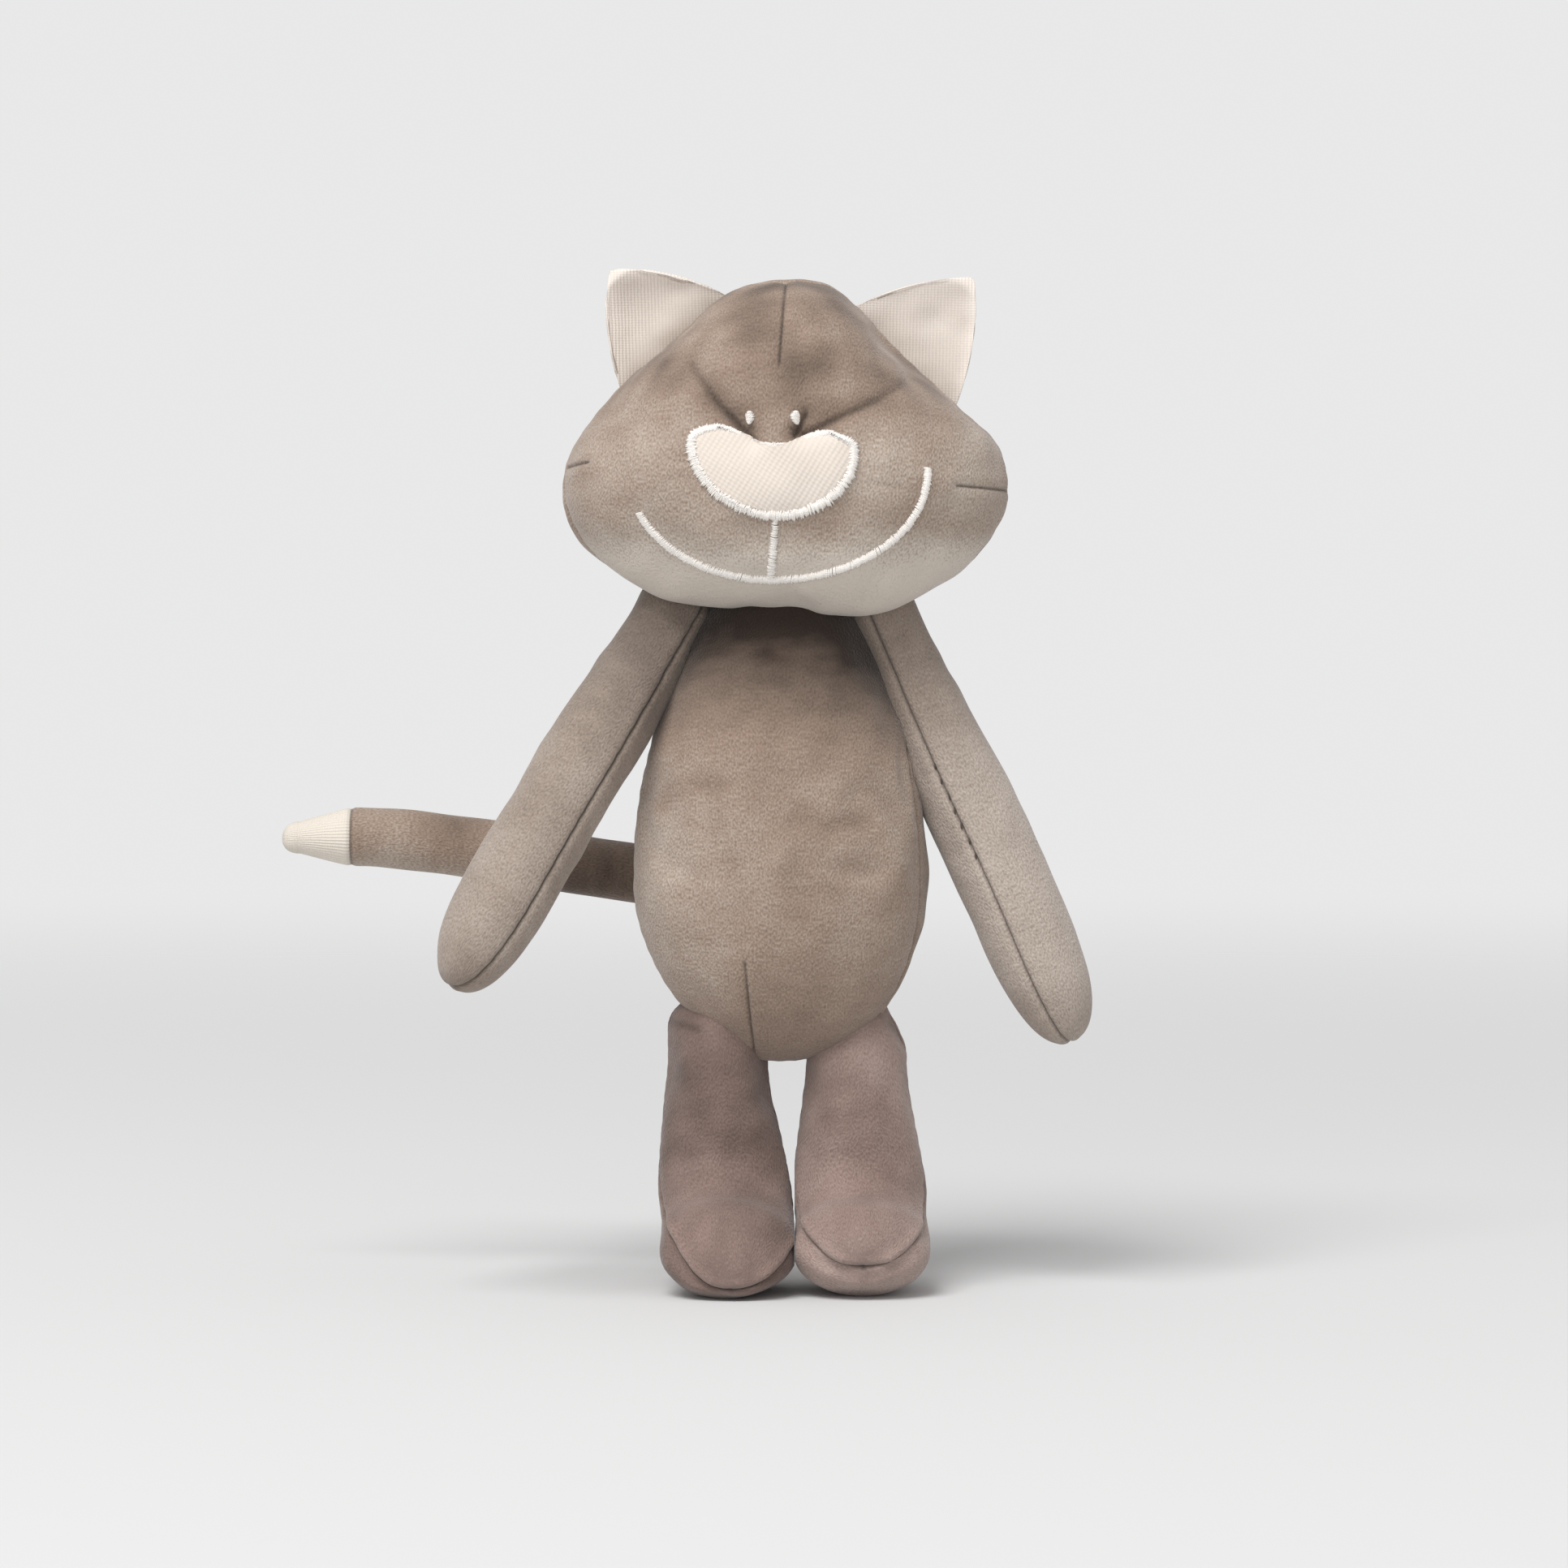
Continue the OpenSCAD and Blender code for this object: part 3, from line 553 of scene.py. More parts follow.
def mesh_object(name, points, faces, uv=None, marks=None, material=None):
    """A smooth mesh from points in millimetres, with cloth coordinates and marks at each point."""
    mesh = bpy.data.meshes.new(name)
    mesh.from_pydata((np.asarray(points) * MM).tolist(), [], faces)
    mesh.shade_smooth()
    if uv is not None:
        corner = np.zeros(len(mesh.loops), np.int32)
        mesh.loops.foreach_get("vertex_index", corner)
        layer = mesh.uv_layers.new(name="cloth")
        layer.data.foreach_set("uv", (np.asarray(uv)[corner] / UV_UNIT).astype(np.float32).ravel())
    for mark, values in (marks or {}).items():
        attribute = mesh.attributes.new(mark, "FLOAT", "POINT")
        attribute.data.foreach_set("value", np.asarray(values, np.float32))
    mesh.materials.append(material)
    return linked(name, mesh)


def edge_of(faces):
    """Edges that only one face has, in that face's direction."""
    edges = [(f[k], f[(k + 1) % len(f)]) for f in faces for k in range(len(f))]
    known = set(edges)
    return [(a, b) for a, b in edges if (b, a) not in known]


def grid_faces(rows, cols, closed):
    """Faces of a grid of points whose first row is one point; closed joins its last column to its first."""
    spans = cols if closed else cols - 1

    def at(i, j):
        return 1 + (i - 1) * cols + j % cols

    fan = [(0, at(1, j), at(1, j + 1)) for j in range(spans)]
    return fan + [
        (at(i, j), at(i + 1, j), at(i + 1, j + 1), at(i, j + 1))
        for i in range(1, rows - 1) for j in range(spans)
    ]


def facing_out(faces, points, outward):
    """Faces, turned over if the middle one looks against the outward direction of its first point."""
    middle = faces[len(faces) // 2]
    a, b, c = points[list(middle[:3])]
    if np.dot(np.cross(b - a, c - a), outward[middle[0]]) < 0:
        return [face[::-1] for face in faces]
    return faces


def flat(values):
    """Values of a grid in one row, with a single one for its first row."""
    return np.concatenate([values[0, :1], values[1:].reshape(-1, *values.shape[2:])])


def panel(name, grid, normal, uv, closed, marks, material, thickness=CLOTH):
    """A cloth panel with an outer and an inner skin, from a grid whose first row is one point."""
    outer, up = flat(grid), flat(normal)
    faces = facing_out(grid_faces(*grid.shape[:2], closed), outer, up)
    count = len(outer)
    back = [tuple(k + count for k in face[::-1]) for face in faces]
    rim = [(b, a, a + count, b + count) for a, b in edge_of(faces)]
    twice = {mark: np.tile(flat(values), 2) for mark, values in marks.items()}
    points = np.concatenate([outer, outer - thickness * up])
    return mesh_object(name, points, faces + back + rim, np.tile(flat(uv), (2, 1)), twice, material)


# Cloth pass

def blurred(values, passes):
    """Values on a grid with closed rows, softened over their neighbours; the first and last rows stay."""
    for _ in range(passes):
        values = (np.roll(values, 1, 1) + 2 * values + np.roll(values, -1, 1)) / 4
        values[1:-1] = (values[:-2] + 2 * values[1:-1] + values[2:]) / 4
    return values


def simulated(points, faces, held):
    """Where points of a closed form come to rest as cloth that is blown up by its stuffing."""
    obj = mesh_object("cloth_trial", points, faces)
    group = obj.vertex_groups.new(name="held")
    group.add(held, 1, "REPLACE")
    settings = obj.modifiers.new("cloth", "CLOTH").settings
    settings.vertex_group_mass = group.name
    settings.use_pressure = True
    settings.uniform_pressure_force = STUFFING_PRESSURE
    settings.shrink_min = -CLOTH_EASE
    settings.effector_weights.gravity = 0
    scene = bpy.context.scene
    first_frame = scene.frame_current
    for step in range(CLOTH_FRAMES):
        scene.frame_set(first_frame + step)
    shaped = obj.evaluated_get(bpy.context.evaluated_depsgraph_get())
    ends = np.zeros(3 * len(points), np.float32)
    shaped.data.vertices.foreach_get("co", ends)
    scene.frame_set(first_frame)
    bpy.data.objects.remove(obj)
    return ends.reshape(-1, 3) / MM


def settled(grid, held_rows, held_cols, reach):
    """A grid round a stuffed form, moved by up to a reach as its cloth moves in a coarse simulation."""
    count, around = grid.shape[:2]
    rows = sorted({*range(0, count, CLOTH_CELL), *held_rows, count - 1})
    cols = sorted({*range(0, around, CLOTH_CELL), *held_cols})
    points = flat(grid[np.ix_(rows, cols)])
    width = len(cols)
    faces = facing_out(grid_faces(len(rows), width, True), points, points - points.mean(0))
    held = [1 + (i - 1) * width + j for i in range(1, len(rows)) for j in range(width)
            if rows[i] in held_rows or cols[j] in held_cols]
    move = simulated(points, faces, held) - points
    move *= np.minimum(1, reach / np.maximum(np.linalg.norm(move, axis=1), 1e-9))[:, None]
    coarse_move = np.concatenate([np.repeat(move[:1], width, 0)[None], move[1:].reshape(-1, width, 3)])
    place = np.arange(len(rows))
    from_pole = smooth(np.minimum(place, place[::-1]) / CLOTH_POLE_ROWS)[:, None, None]
    coarse_move = mix(coarse_move.mean(1, keepdims=True), coarse_move, from_pole)
    by_row = np.stack([
        [np.interp(np.arange(around), cols, line[:, k], period=around) for k in range(3)]
        for line in coarse_move
    ])
    fine = np.stack([
        [np.interp(np.arange(count), rows, by_row[:, k, j]) for k in range(3)] for j in range(around)
    ])
    seams = [grid[r:r + 1] for r in held_rows] + [grid[:, c:c + 1] for c in held_cols]
    seam_gap = np.minimum.reduce([np.linalg.norm(grid - seam, axis=2) for seam in seams])
    free = smooth(seam_gap / CLOTH_SEAM_FADE)
    return grid + free[..., None] * blurred(np.transpose(fine, (2, 0, 1)), CLOTH_BLUR)


def settled_pillow(front, back):
    """Both sides of a two-panel form after the cloth pass; the seam between them stays."""
    count = len(front)
    whole = settled(np.concatenate([front, back[-2:0:-1]]), [count - 1], [], CLOTH_REACH["pillow"])
    return whole[:count], np.concatenate([back[:1], whole[:count - 2:-1]])


# Materials

def linear(r, g, b):
    """A colour given as 0 to 255 display values, for a shader."""
    share = np.array([r, g, b]) / 255
    return (*np.where(share < 0.04045, share / 12.92, ((share + 0.055) / 1.055) ** 2.4), 1)


class Nodes:
    """A node tree with short ways to add nodes to it."""

    def __init__(self, tree):
        self.tree = tree

    def add(self, kind, inputs=None, **settings):
        node = self.tree.nodes.new(kind)
        for key, value in settings.items():
            setattr(node, key, value)
        for key, value in (inputs or {}).items():
            self.put(node.inputs[key], value)
        return node

    def put(self, socket, value):
        if isinstance(value, bpy.types.NodeSocket):
            self.tree.links.new(value, socket)
        else:
            socket.default_value = value

    def sum(self, operation, *values):
        node = self.add("ShaderNodeMath", operation=operation)
        for socket, value in zip(node.inputs, values):
            self.put(socket, value)
        return node.outputs[0]

    def weighted(self, *parts):
        """Values added up, each times its weight."""
        total = 0
        for value, weight in parts:
            total = self.sum("MULTIPLY_ADD", value, weight, total)
        return total

    def ramp(self, share, stops):
        """A colour at a share of the way through stops, which are places and colours."""
        node = self.add("ShaderNodeValToRGB", {"Fac": share})
        elements = node.color_ramp.elements
        while len(elements) < len(stops):
            elements.new(0.5)
        for element, (place, colour) in zip(elements, stops):
            element.position = place
            element.color = colour
        return node.outputs["Color"]


class Shader(Nodes):
    """A material with one surface shader."""

    def __init__(self, name, roughness, sheen, specular=SPECULAR):
        self.material = bpy.data.materials.new(name)
        self.material.use_nodes = True
        super().__init__(self.material.node_tree)
        self.surface = self.tree.nodes["Principled BSDF"].inputs
        self.surface["Roughness"].default_value = roughness
        self.surface["Specular IOR Level"].default_value = specular
        self.surface["Sheen Weight"].default_value = sheen

    def cloth_place(self, turn=0, stretch=(1, 1)):
        """Place on the cloth, turned by degrees and stretched along and across."""
        uv = self.add("ShaderNodeUVMap", uv_map="cloth").outputs[0]
        return self.add("ShaderNodeMapping", {
            "Vector": uv, "Rotation": (0, 0, math.radians(turn)), "Scale": (*stretch, 1),
        }).outputs[0]

    def speckle(self, place, size, detail=2):
        """Noise from -1 to 1 with features of a size in millimetres."""
        noise = self.add("ShaderNodeTexNoise", {"Vector": place, "Scale": UV_UNIT / size, "Detail": detail})
        return self.sum("MULTIPLY_ADD", noise.outputs[0], 2, -1)

    def ribs(self, place, axis, pitch, wander=0):
        """Waves from -1 to 1 along one axis of a place, a pitch in millimetres apart."""
        parts = self.add("ShaderNodeSeparateXYZ", {"Vector": place}).outputs
        phase = self.sum("MULTIPLY_ADD", parts[axis], math.tau * UV_UNIT / pitch, wander)
        return self.sum("SINE", phase)

    def mark(self, name):
        return self.add("ShaderNodeAttribute", attribute_name=name).outputs["Fac"]

    def tones(self, share, colours):
        """A colour between evenly spaced tones, from dark to light, darkened by painted shade where the cloth
        is creased.
        """
        colour = self.ramp(share, list(zip(np.linspace(0, 1, len(colours)), colours)))
        crease = self.sum("MULTIPLY", self.mark("crease"), CREASE_SHADE_SHARE)
        deep = tuple(CREASE_SHADE_TONE * c for c in colours[0][:3]) + (1,)
        mixed = self.add("ShaderNodeMix", {"Factor": crease, "A": colour, "B": deep}, data_type="RGBA")
        self.put(self.surface["Base Color"], mixed.outputs["Result"])

    def relief(self, height, depth, strength=1):
        bump = self.add("ShaderNodeBump", {"Height": height, "Distance": depth * MM, "Strength": strength})
        self.put(self.surface["Normal"], bump.outputs[0])


def velour(name, *tones):
    """Short-pile knit: soft smudges of nap over rows of tiny loops, toned by a mark that also carries painted
    light and shade.
    """
    s = Shader(name, roughness=0.9, sheen=0.22)
    place = s.cloth_place()
    smudge = s.speckle(place, size=24, detail=4)
    stroke = s.speckle(s.cloth_place(turn=70, stretch=(0.5, 1.2)), size=6)
    loops = s.speckle(s.cloth_place(stretch=(1.2, 0.8)), size=0.8, detail=0.5)
    tufts = s.speckle(place, size=2.1)
    grain = s.weighted((loops, 0.8), (tufts, 0.2))
    tone = s.weighted((s.mark("nap"), 1), (smudge, 0.05), (stroke, 0.07))
    grain_tone = s.sum("MULTIPLY", s.mark("nap"), VELOUR_GRAIN)
    s.tones(s.weighted((tone, 1), (grain, grain_tone)), tones)
    s.relief(grain, depth=0.35, strength=0.7)
    return s.material


def rib_knit(name, tones, turn, pitch, bead, depth):
    """Fine ribs of pale yarn of a depth; bead is how far the loops along a rib stand out."""
    s = Shader(name, roughness=0.85, sheen=0.15)
    place = s.cloth_place(turn)
    rib = s.ribs(place, 0, pitch, wander=s.weighted((s.speckle(place, size=6), 0.8)))
    loops = s.ribs(place, 1, LOOP_PITCH * pitch, wander=s.weighted((s.speckle(place, size=2), 1.5)))
    height = s.weighted((rib, 1 - bead), (loops, bead))
    mottle = s.speckle(place, size=14)
    # Raised ribs are lighter: partly the yarn's pattern, partly painted light
    s.tones(s.weighted((s.mark("nap"), 1), (mottle, 0.15), (height, RIB_TONE * depth)), tones)
    s.relief(height, depth, strength=0.6)
    return s.material


def sewing_thread(name, *tones):
    """Twisted thread with a soft gloss."""
    s = Shader(name, roughness=0.55, sheen=0.2)
    place = s.cloth_place()
    s.tones(s.sum("MULTIPLY_ADD", s.speckle(place, size=2), 0.35, 0.65), tones)
    s.relief(s.ribs(place, 0, pitch=0.5), depth=0.1, strength=0.5)
    return s.material


# Tones of each cloth, from dark to light: the velours and the ear knit reach their darker tones mostly where
# painted shade lowers the tone mark
VELOUR = velour("taupe_velour", linear(46, 36, 30), linear(143, 124, 110), linear(194, 184, 173))
ARM_VELOUR = velour("arm_velour", linear(46, 37, 32), linear(143, 129, 118), linear(190, 178, 168))
LEG_VELOUR = velour("leg_velour", linear(56, 43, 38), linear(135, 115, 107), linear(176, 156, 148))
EAR_KNIT = rib_knit("ear_knit", (linear(150, 137, 125), linear(232, 222, 213)),
                    turn=40, pitch=1.15, bead=0.25, depth=0.16)
NOSE_KNIT = rib_knit("nose_knit", (linear(202, 190, 179), linear(228, 218, 208)),
                     turn=32, pitch=1.7, bead=0.4, depth=0.15)
TIP_KNIT = rib_knit("tip_knit", (linear(192, 182, 169), linear(225, 217, 206)),
                    turn=0, pitch=1.3, bead=0.3, depth=0.2)
WHITE_THREAD = sewing_thread("white_thread", linear(214, 206, 198), linear(250, 246, 241))
GREY_THREAD = sewing_thread("grey_thread", linear(58, 48, 44), linear(96, 84, 77))


def finish_piece(obj, nodes):
    """Hides the frame's parts that a piece stands in for."""
    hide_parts(*nodes)
    return obj


# Two-panel forms: the head and the body

def pillow_side(curve, centre, angles, rings, depth_at):
    """Rows of points from a form's middle out to its edge seam.

    depth_at gives the depth at x, z and a share of the way out.
    """
    turn = (1 - np.linspace(1, 0, rings) ** EDGE_GATHER) * math.pi / 2
    share = np.sin(turn)[:, None]
    reach = reach_round(curve, centre, angles)[None, :] * share
    x = centre[0] + reach * np.cos(angles)
    z = centre[1] + reach * np.sin(angles)
    return np.stack([x, depth_at(x, z, share), z], axis=2)


def fade_behind(grid):
    """Share of a front panel's painted light and shade that is carried onto the back panel, from 1 at the
    side seams.
    """
    return 1 - smooth(grid[..., 1] / SHADING_FADE_DEPTH)


def pillow_panel(form, side, grid, nap, smudge=1, extra=0, shade_lines=0):
    """One side of a form, with its seam, puckers, lumps and extra relief, its tone with painted light and
    shade, and painted shade lines.
    """
    name = f"{form}_{side}"
    body, fill, centre = PILLOWS[form]
    normal = grid_normals(grid, True, np.array([centre[0], 0, centre[1]]))
    out = row_lengths(grid)
    gap = out[-1] - out
    edge = np.linalg.norm(np.diff(grid[-1], axis=0), axis=1)
    along = np.concatenate([[0], np.cumsum(edge)])
    rise = seam_shape(gap, along[None, :]) + extra
    rise = rise + smooth(gap / PILLOW_LUMP_FADE) * lumps(grid, SEEDS[name], *PILLOW_LUMPS)
    points = grid + normal * rise[..., None]
    uv = unit(grid[..., [0, 2]] - np.array(centre)) * out[..., None]
    # The first mark is the nap with painted light and shade, the second is painted shade along seams, darts
    # and folds
    marks = {
        "nap": nap + smudge * smudges(grid, SEEDS[name] + 1),
        "crease": np.maximum(seam_shade_line(gap), shade_lines),
    }
    obj = panel(name, points, normal, uv, True, marks, VELOUR)
    nodes = [f"{name}_panel"]
    if side == "front":
        nodes.append(f"{form}_stuffing")
    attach(finish_piece(obj, nodes), body)
    return obj


# Body

def body_swell(z, side):
    """Share of the body's full width and depth at a height, on one side."""
    below = swell((WAIST_Z - z) / BELLY_DROP, BELLY_ROUNDNESS[side])
    above = swell((z - WAIST_Z) / SHOULDER_RISE, SHOULDER_ROUNDNESS)
    return np.where(z < WAIST_Z, below, above)


def body_middle_x(z):
    return BELLY_SHIFT * smooth((WAIST_Z - z) / BELLY_DROP)


def body_outline():
    turn = np.linspace(-math.pi / 2, math.pi / 2, FINE_STEPS)
    z = WAIST_Z + np.where(turn < 0, BELLY_DROP, SHOULDER_RISE) * np.sin(turn)
    left, right = (
        np.stack([body_middle_x(z) + sign * BODY_REACH[side] * body_swell(z, side), z], 1)
        for side, sign in SIDES.items()
    )
    return np.concatenate([left, right[::-1]])


def body_depth(depth):
    """The body's depth as a function of a place in the front view, from its full depth."""
    def at(x, z, _):
        across = x - body_middle_x(z)
        left, right = (BODY_REACH[side] * np.maximum(body_swell(z, side), 1e-6) for side in SIDES)
        return depth * body_swell(z, "right") * swell(across / np.where(across > 0, left, right), 2)
    return at


def turn_flank(grid):
    """The body's points turned forward round its left flank, where the side seam shows beside the belly."""
    x, y, z = np.moveaxis(grid, 2, 0)
    across = x - body_middle_x(z)
    from_flank = np.degrees(np.arctan2(np.abs(y), across))
    turn = np.radians(ramps(z, FLANK_TURN)) * (1 - smooth(from_flank / FLANK_REACH))
    turned_x = across * np.cos(turn) + y * np.sin(turn)
    turned_y = y * np.cos(turn) - across * np.sin(turn)
    return np.stack([turned_x + body_middle_x(z), turned_y, z], axis=2)


def build_body():
    angles = gathered(*BODY_COLUMNS)
    curve = body_outline()
    front, back = settled_pillow(*(
        turn_flank(pillow_side(curve, BODY_MIDDLE, angles, BODY_RINGS[side], body_depth(depth)))
        for side, depth in (("front", -BODY_HALF_DEPTH), ("back", BODY_HALF_DEPTH))
    ))
    x, z = front[..., 0], front[..., 2]
    dart = line_gap(x, z, BODY_DART)
    dents = DENT_DEPTH * sum(hill(line_gap(x, z, line), width) for line, width in BODY_DENTS)
    extra = bumps(dart, *BODY_DART_SHAPE) - dents
    # Painted light on the flanks, the painted shadow of the head on the chest, and painted shade in the
    # dents, beside the arms and, in part, low on the belly
    nap = BODY_NAP["front"] + ramps(x, *FLANK_LIGHT) + ramps(z, CHEST_SHADE, BELLY_SHADE) - DENT_SHADE * dents
    nap = nap + sum(bumps(line_gap(x, z, line), ARMPIT_SHADE) for line in ARMPITS)
    pillow_panel("body", "front", front, nap, BODY_SMUDGES, extra, seam_shade_line(dart))
    # The chest's painted shadow goes on past the side seams and fades behind them
    nap = BODY_NAP["back"] + ramps(back[..., 2], CHEST_SHADE) * fade_behind(back)
    pillow_panel("body", "back", back, nap)


# Head

def head_depth(depth):
    """The head's depth as a function of a place in the front view and a share of the way out."""
    def at(x, z, share):
        turn = np.degrees(np.arctan2(z - HEAD_MIDDLE[1], x - HEAD_MIDDLE[0])) % 360
        pull = bumps(turn, *HEAD_SEAM_PULLS) * share ** HEAD_PULL_POWER
        return depth * swell(share, HEAD_FULLNESS) - pull
    return at


def fold_shape(x, z, line, width):
    """How deep a fold of the face is beside its line; it fades away from its first point."""
    fade = 1 + ramps(np.hypot(x - line[0][0], z - line[0][1]), FOLD_FADE)
    return fade * hill(line_gap(x, z, line), width)


def build_head():
    angles = gathered(*HEAD_COLUMNS)
    curve = closed_curve(HEAD_OUTLINE)
    front = pillow_side(curve, HEAD_MIDDLE, angles, HEAD_RINGS["front"], head_depth(-FACE_DEPTH))
    front[..., 2] -= bumps(front[..., 1], CHIN_DROOP) * ramps(front[..., 2], CHIN_DROOP_TOP)
    back = pillow_side(curve, HEAD_MIDDLE, angles, HEAD_RINGS["back"], head_depth(NAPE_DEPTH))
    front, back = settled_pillow(front, back)
    x, z = front[..., 0], front[..., 2]
    darts = np.minimum.reduce([line_gap(x, z, line) for line in (CROWN_DART, *CHEEK_DARTS)])
    folds = sum(fold_shape(x, z, line, FOLD_WIDTH) for line in BRIDGE_FOLDS)
    fold_lines = sum(fold_shape(x, z, line, FOLD_LINE) for line in BRIDGE_FOLDS)
    extra = bumps(darts, *HEAD_DART_SHAPE) - FOLD_DEPTH * folds - FOLD_LINE_DEPTH * fold_lines
    # Painted shadow lines under the eyes
    eye_pits = sum(
        hill(line_gap(x, z, [(eye_x + dx, EYE_Z + dz) for dx, dz in EYE_PIT]), EYE_PIT_WIDTH)
        for eye_x in EYE_X.values()
    )
    # Painted shade lines along the darts, under the eyes and in the folds
    shade_lines = np.maximum.reduce([seam_shade_line(darts), EYE_PIT_SHADE * eye_pits, FOLD_LINE_CREASE_SHADE * fold_lines])
    # Darker over the forehead, lighter towards the cheeks, painted light on the chin and painted shade in the
    # folds
    forehead = ramps(z, FOREHEAD)
    nap = HEAD_NAP["front"] - FOREHEAD_SHADE * forehead + ramps(np.abs(x), CHEEK_LIGHT) + ramps(z, CHIN_LIGHT)
    nap = nap - FOLD_SHADE * folds - FOLD_LINE_SHADE * fold_lines
    face = pillow_panel("head", "front", front, nap, 1 + FOREHEAD_SMUDGES * forehead, extra, shade_lines)

    turn = np.degrees(angles)[None, :]
    pulled = sum(hill(turn - place, width) for _, place, width in HEAD_SEAM_PULLS)
    gap = row_lengths(back)[-1] - row_lengths(back)
    # The chin's painted light goes on past the seam and fades behind it
    nap = HEAD_NAP["back"] + ramps(back[..., 2], CHIN_LIGHT) * fade_behind(back)
    pillow_panel("head", "back", back, nap, extra=pulled * bumps(gap, HEAD_RIM))
    return face


# Stitching on the face

class Surface:
    """The cloth of a piece, found from the front."""

    def __init__(self, obj):
        mesh = obj.data
        self.tree = BVHTree.FromPolygons([v.co for v in mesh.vertices], [p.vertices for p in mesh.polygons])

    def at(self, x, z, raise_by=0.0):
        """Point and normal of the cloth at a place in the front view, raised above it."""
        point, normal, _, _ = self.tree.ray_cast(Vector((x, RAY_START_Y, z)) * MM, Vector((0, 1, 0)))
        point, normal = np.array(point) / MM, np.array(normal)
        return point + normal * raise_by, normal


def strands_object(name, strands, radius, material, sides=5):
    """Short threads in one mesh; each is a list of points, with ends drawn in."""
    turn = math.tau * np.arange(sides) / sides
    steps = [(n, (n + 1) % sides) for n in range(sides)]
    points, faces, uv = [], [], []
    for path in map(np.array, strands):
        along = unit(np.gradient(path, axis=0))
        lift = unit(np.cross(along, THREAD_ASIDE))
        ring = lift[:, None] * np.cos(turn)[:, None] + np.cross(along, lift)[:, None] * np.sin(turn)[:, None]
        thick = np.full(len(path), radius)
        thick[[0, -1]] *= THREAD_END
        length = np.concatenate([[0], np.cumsum(np.linalg.norm(np.diff(path, axis=0), axis=1))])
        first = len(points)
        last = first + (len(path) - 1) * sides
        twist = length + THREAD_TWIST_STEP * first
        points.extend((path[:, None] + thick[:, None, None] * ring).reshape(-1, 3))
        uv.extend((place, width * angle) for place, width in zip(twist, thick) for angle in turn)
        for low in range(first, last, sides):
            faces += [(low + n, low + m, low + sides + m, low + sides + n) for n, m in steps]
        faces += [tuple(range(first, first + sides))[::-1], tuple(range(last, last + sides))]
    marks = {"crease": np.zeros(len(points)), "nap": np.zeros(len(points))}
    return mesh_object(name, points, faces, np.array(uv), marks, material)


def laid_strand(surface, start, end, height, start_height):
    """A thread over the cloth between two places in the front view; its end goes into the cloth."""
    path = []
    for t in np.linspace(0, 1, THREAD_POINTS):
        place = mix(np.array(start), np.array(end), t)
        base = mix(start_height, STITCH_SINK, t)
        path.append(surface.at(*place, raise_by=base + height * (1 - abs(2 * t - 1) ** 3))[0])
    return path


def satin_line(surface, rng, centre_at, width_at, count,
               height=0.8, slant=0.25, rough=0.12, start=STITCH_SINK):
    """Threads laid side by side across a line; it and its width are functions of a share from 0 to 1."""
    step = 0.01
    strands = []
    for t in (np.arange(count) + 0.5) / count:
        here = np.array(centre_at(t))
        heading = unit(np.array(centre_at(min(1, t + step))) - np.array(centre_at(max(0, t - step))))
        across = np.array([-heading[1], heading[0]]) + heading * slant
        half = width_at(t) / 2 * (1 + rng.normal(0, rough, 2))
        shift = heading * rng.normal(0, STITCH_DRIFT)
        ends = here + shift + across * half[0], here + shift - across * half[1]
        strands.append(laid_strand(surface, *ends, height, start))
    return strands


def stitched(name, node, strands, radius):
    """White threads as one piece on the head."""
    piece = strands_object(name, strands, radius, WHITE_THREAD)
    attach(finish_piece(piece, [node]), "head")


def nose_outline(a, growth):
    """Edge of the nose patch at an angle round it, grown outwards."""
    across = abs(math.cos(a))
    if math.sin(a) < 0:
        height = -(NOSE_DROP + growth) * float(swell(across, NOSE_ROUNDNESS))
    else:
        height = (NOSE_LOBE + growth) * math.sin(a) ** NOSE_LOBE_POWER + float(ramps(across, NOSE_DIP))
    x = (NOSE_HALF_WIDTH + growth) * math.cos(a)
    return (FACE_SHIFT + x, NOSE_Z + height + NOSE_TILT * x)


def build_nose_patch(surface):
    rings, cols = PATCH_GRID
    grid, normal = np.zeros((2, rings, cols, 3))
    places = np.zeros((rings, cols, 2))
    for i, share in enumerate(np.linspace(0, 1, rings)):
        lift = PATCH_LIFT + PATCH_PUFF * swell(share, PATCH_ROUNDNESS)
        for j in range(cols):
            edge = np.array(nose_outline(math.tau * j / cols, PATCH_GROWTH))
            places[i, j] = mix(np.array([FACE_SHIFT, NOSE_Z]), edge, share)
            grid[i, j], normal[i, j] = surface.at(*places[i, j], raise_by=lift)
    marks = {"nap": np.full((rings, cols), PATCH_NAP), "crease": np.zeros((rings, cols))}
    patch = panel("nose_patch_cloth", grid, normal, places - places[0, 0], True, marks, NOSE_KNIT)
    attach(finish_piece(patch, ["nose_patch"]), "head")


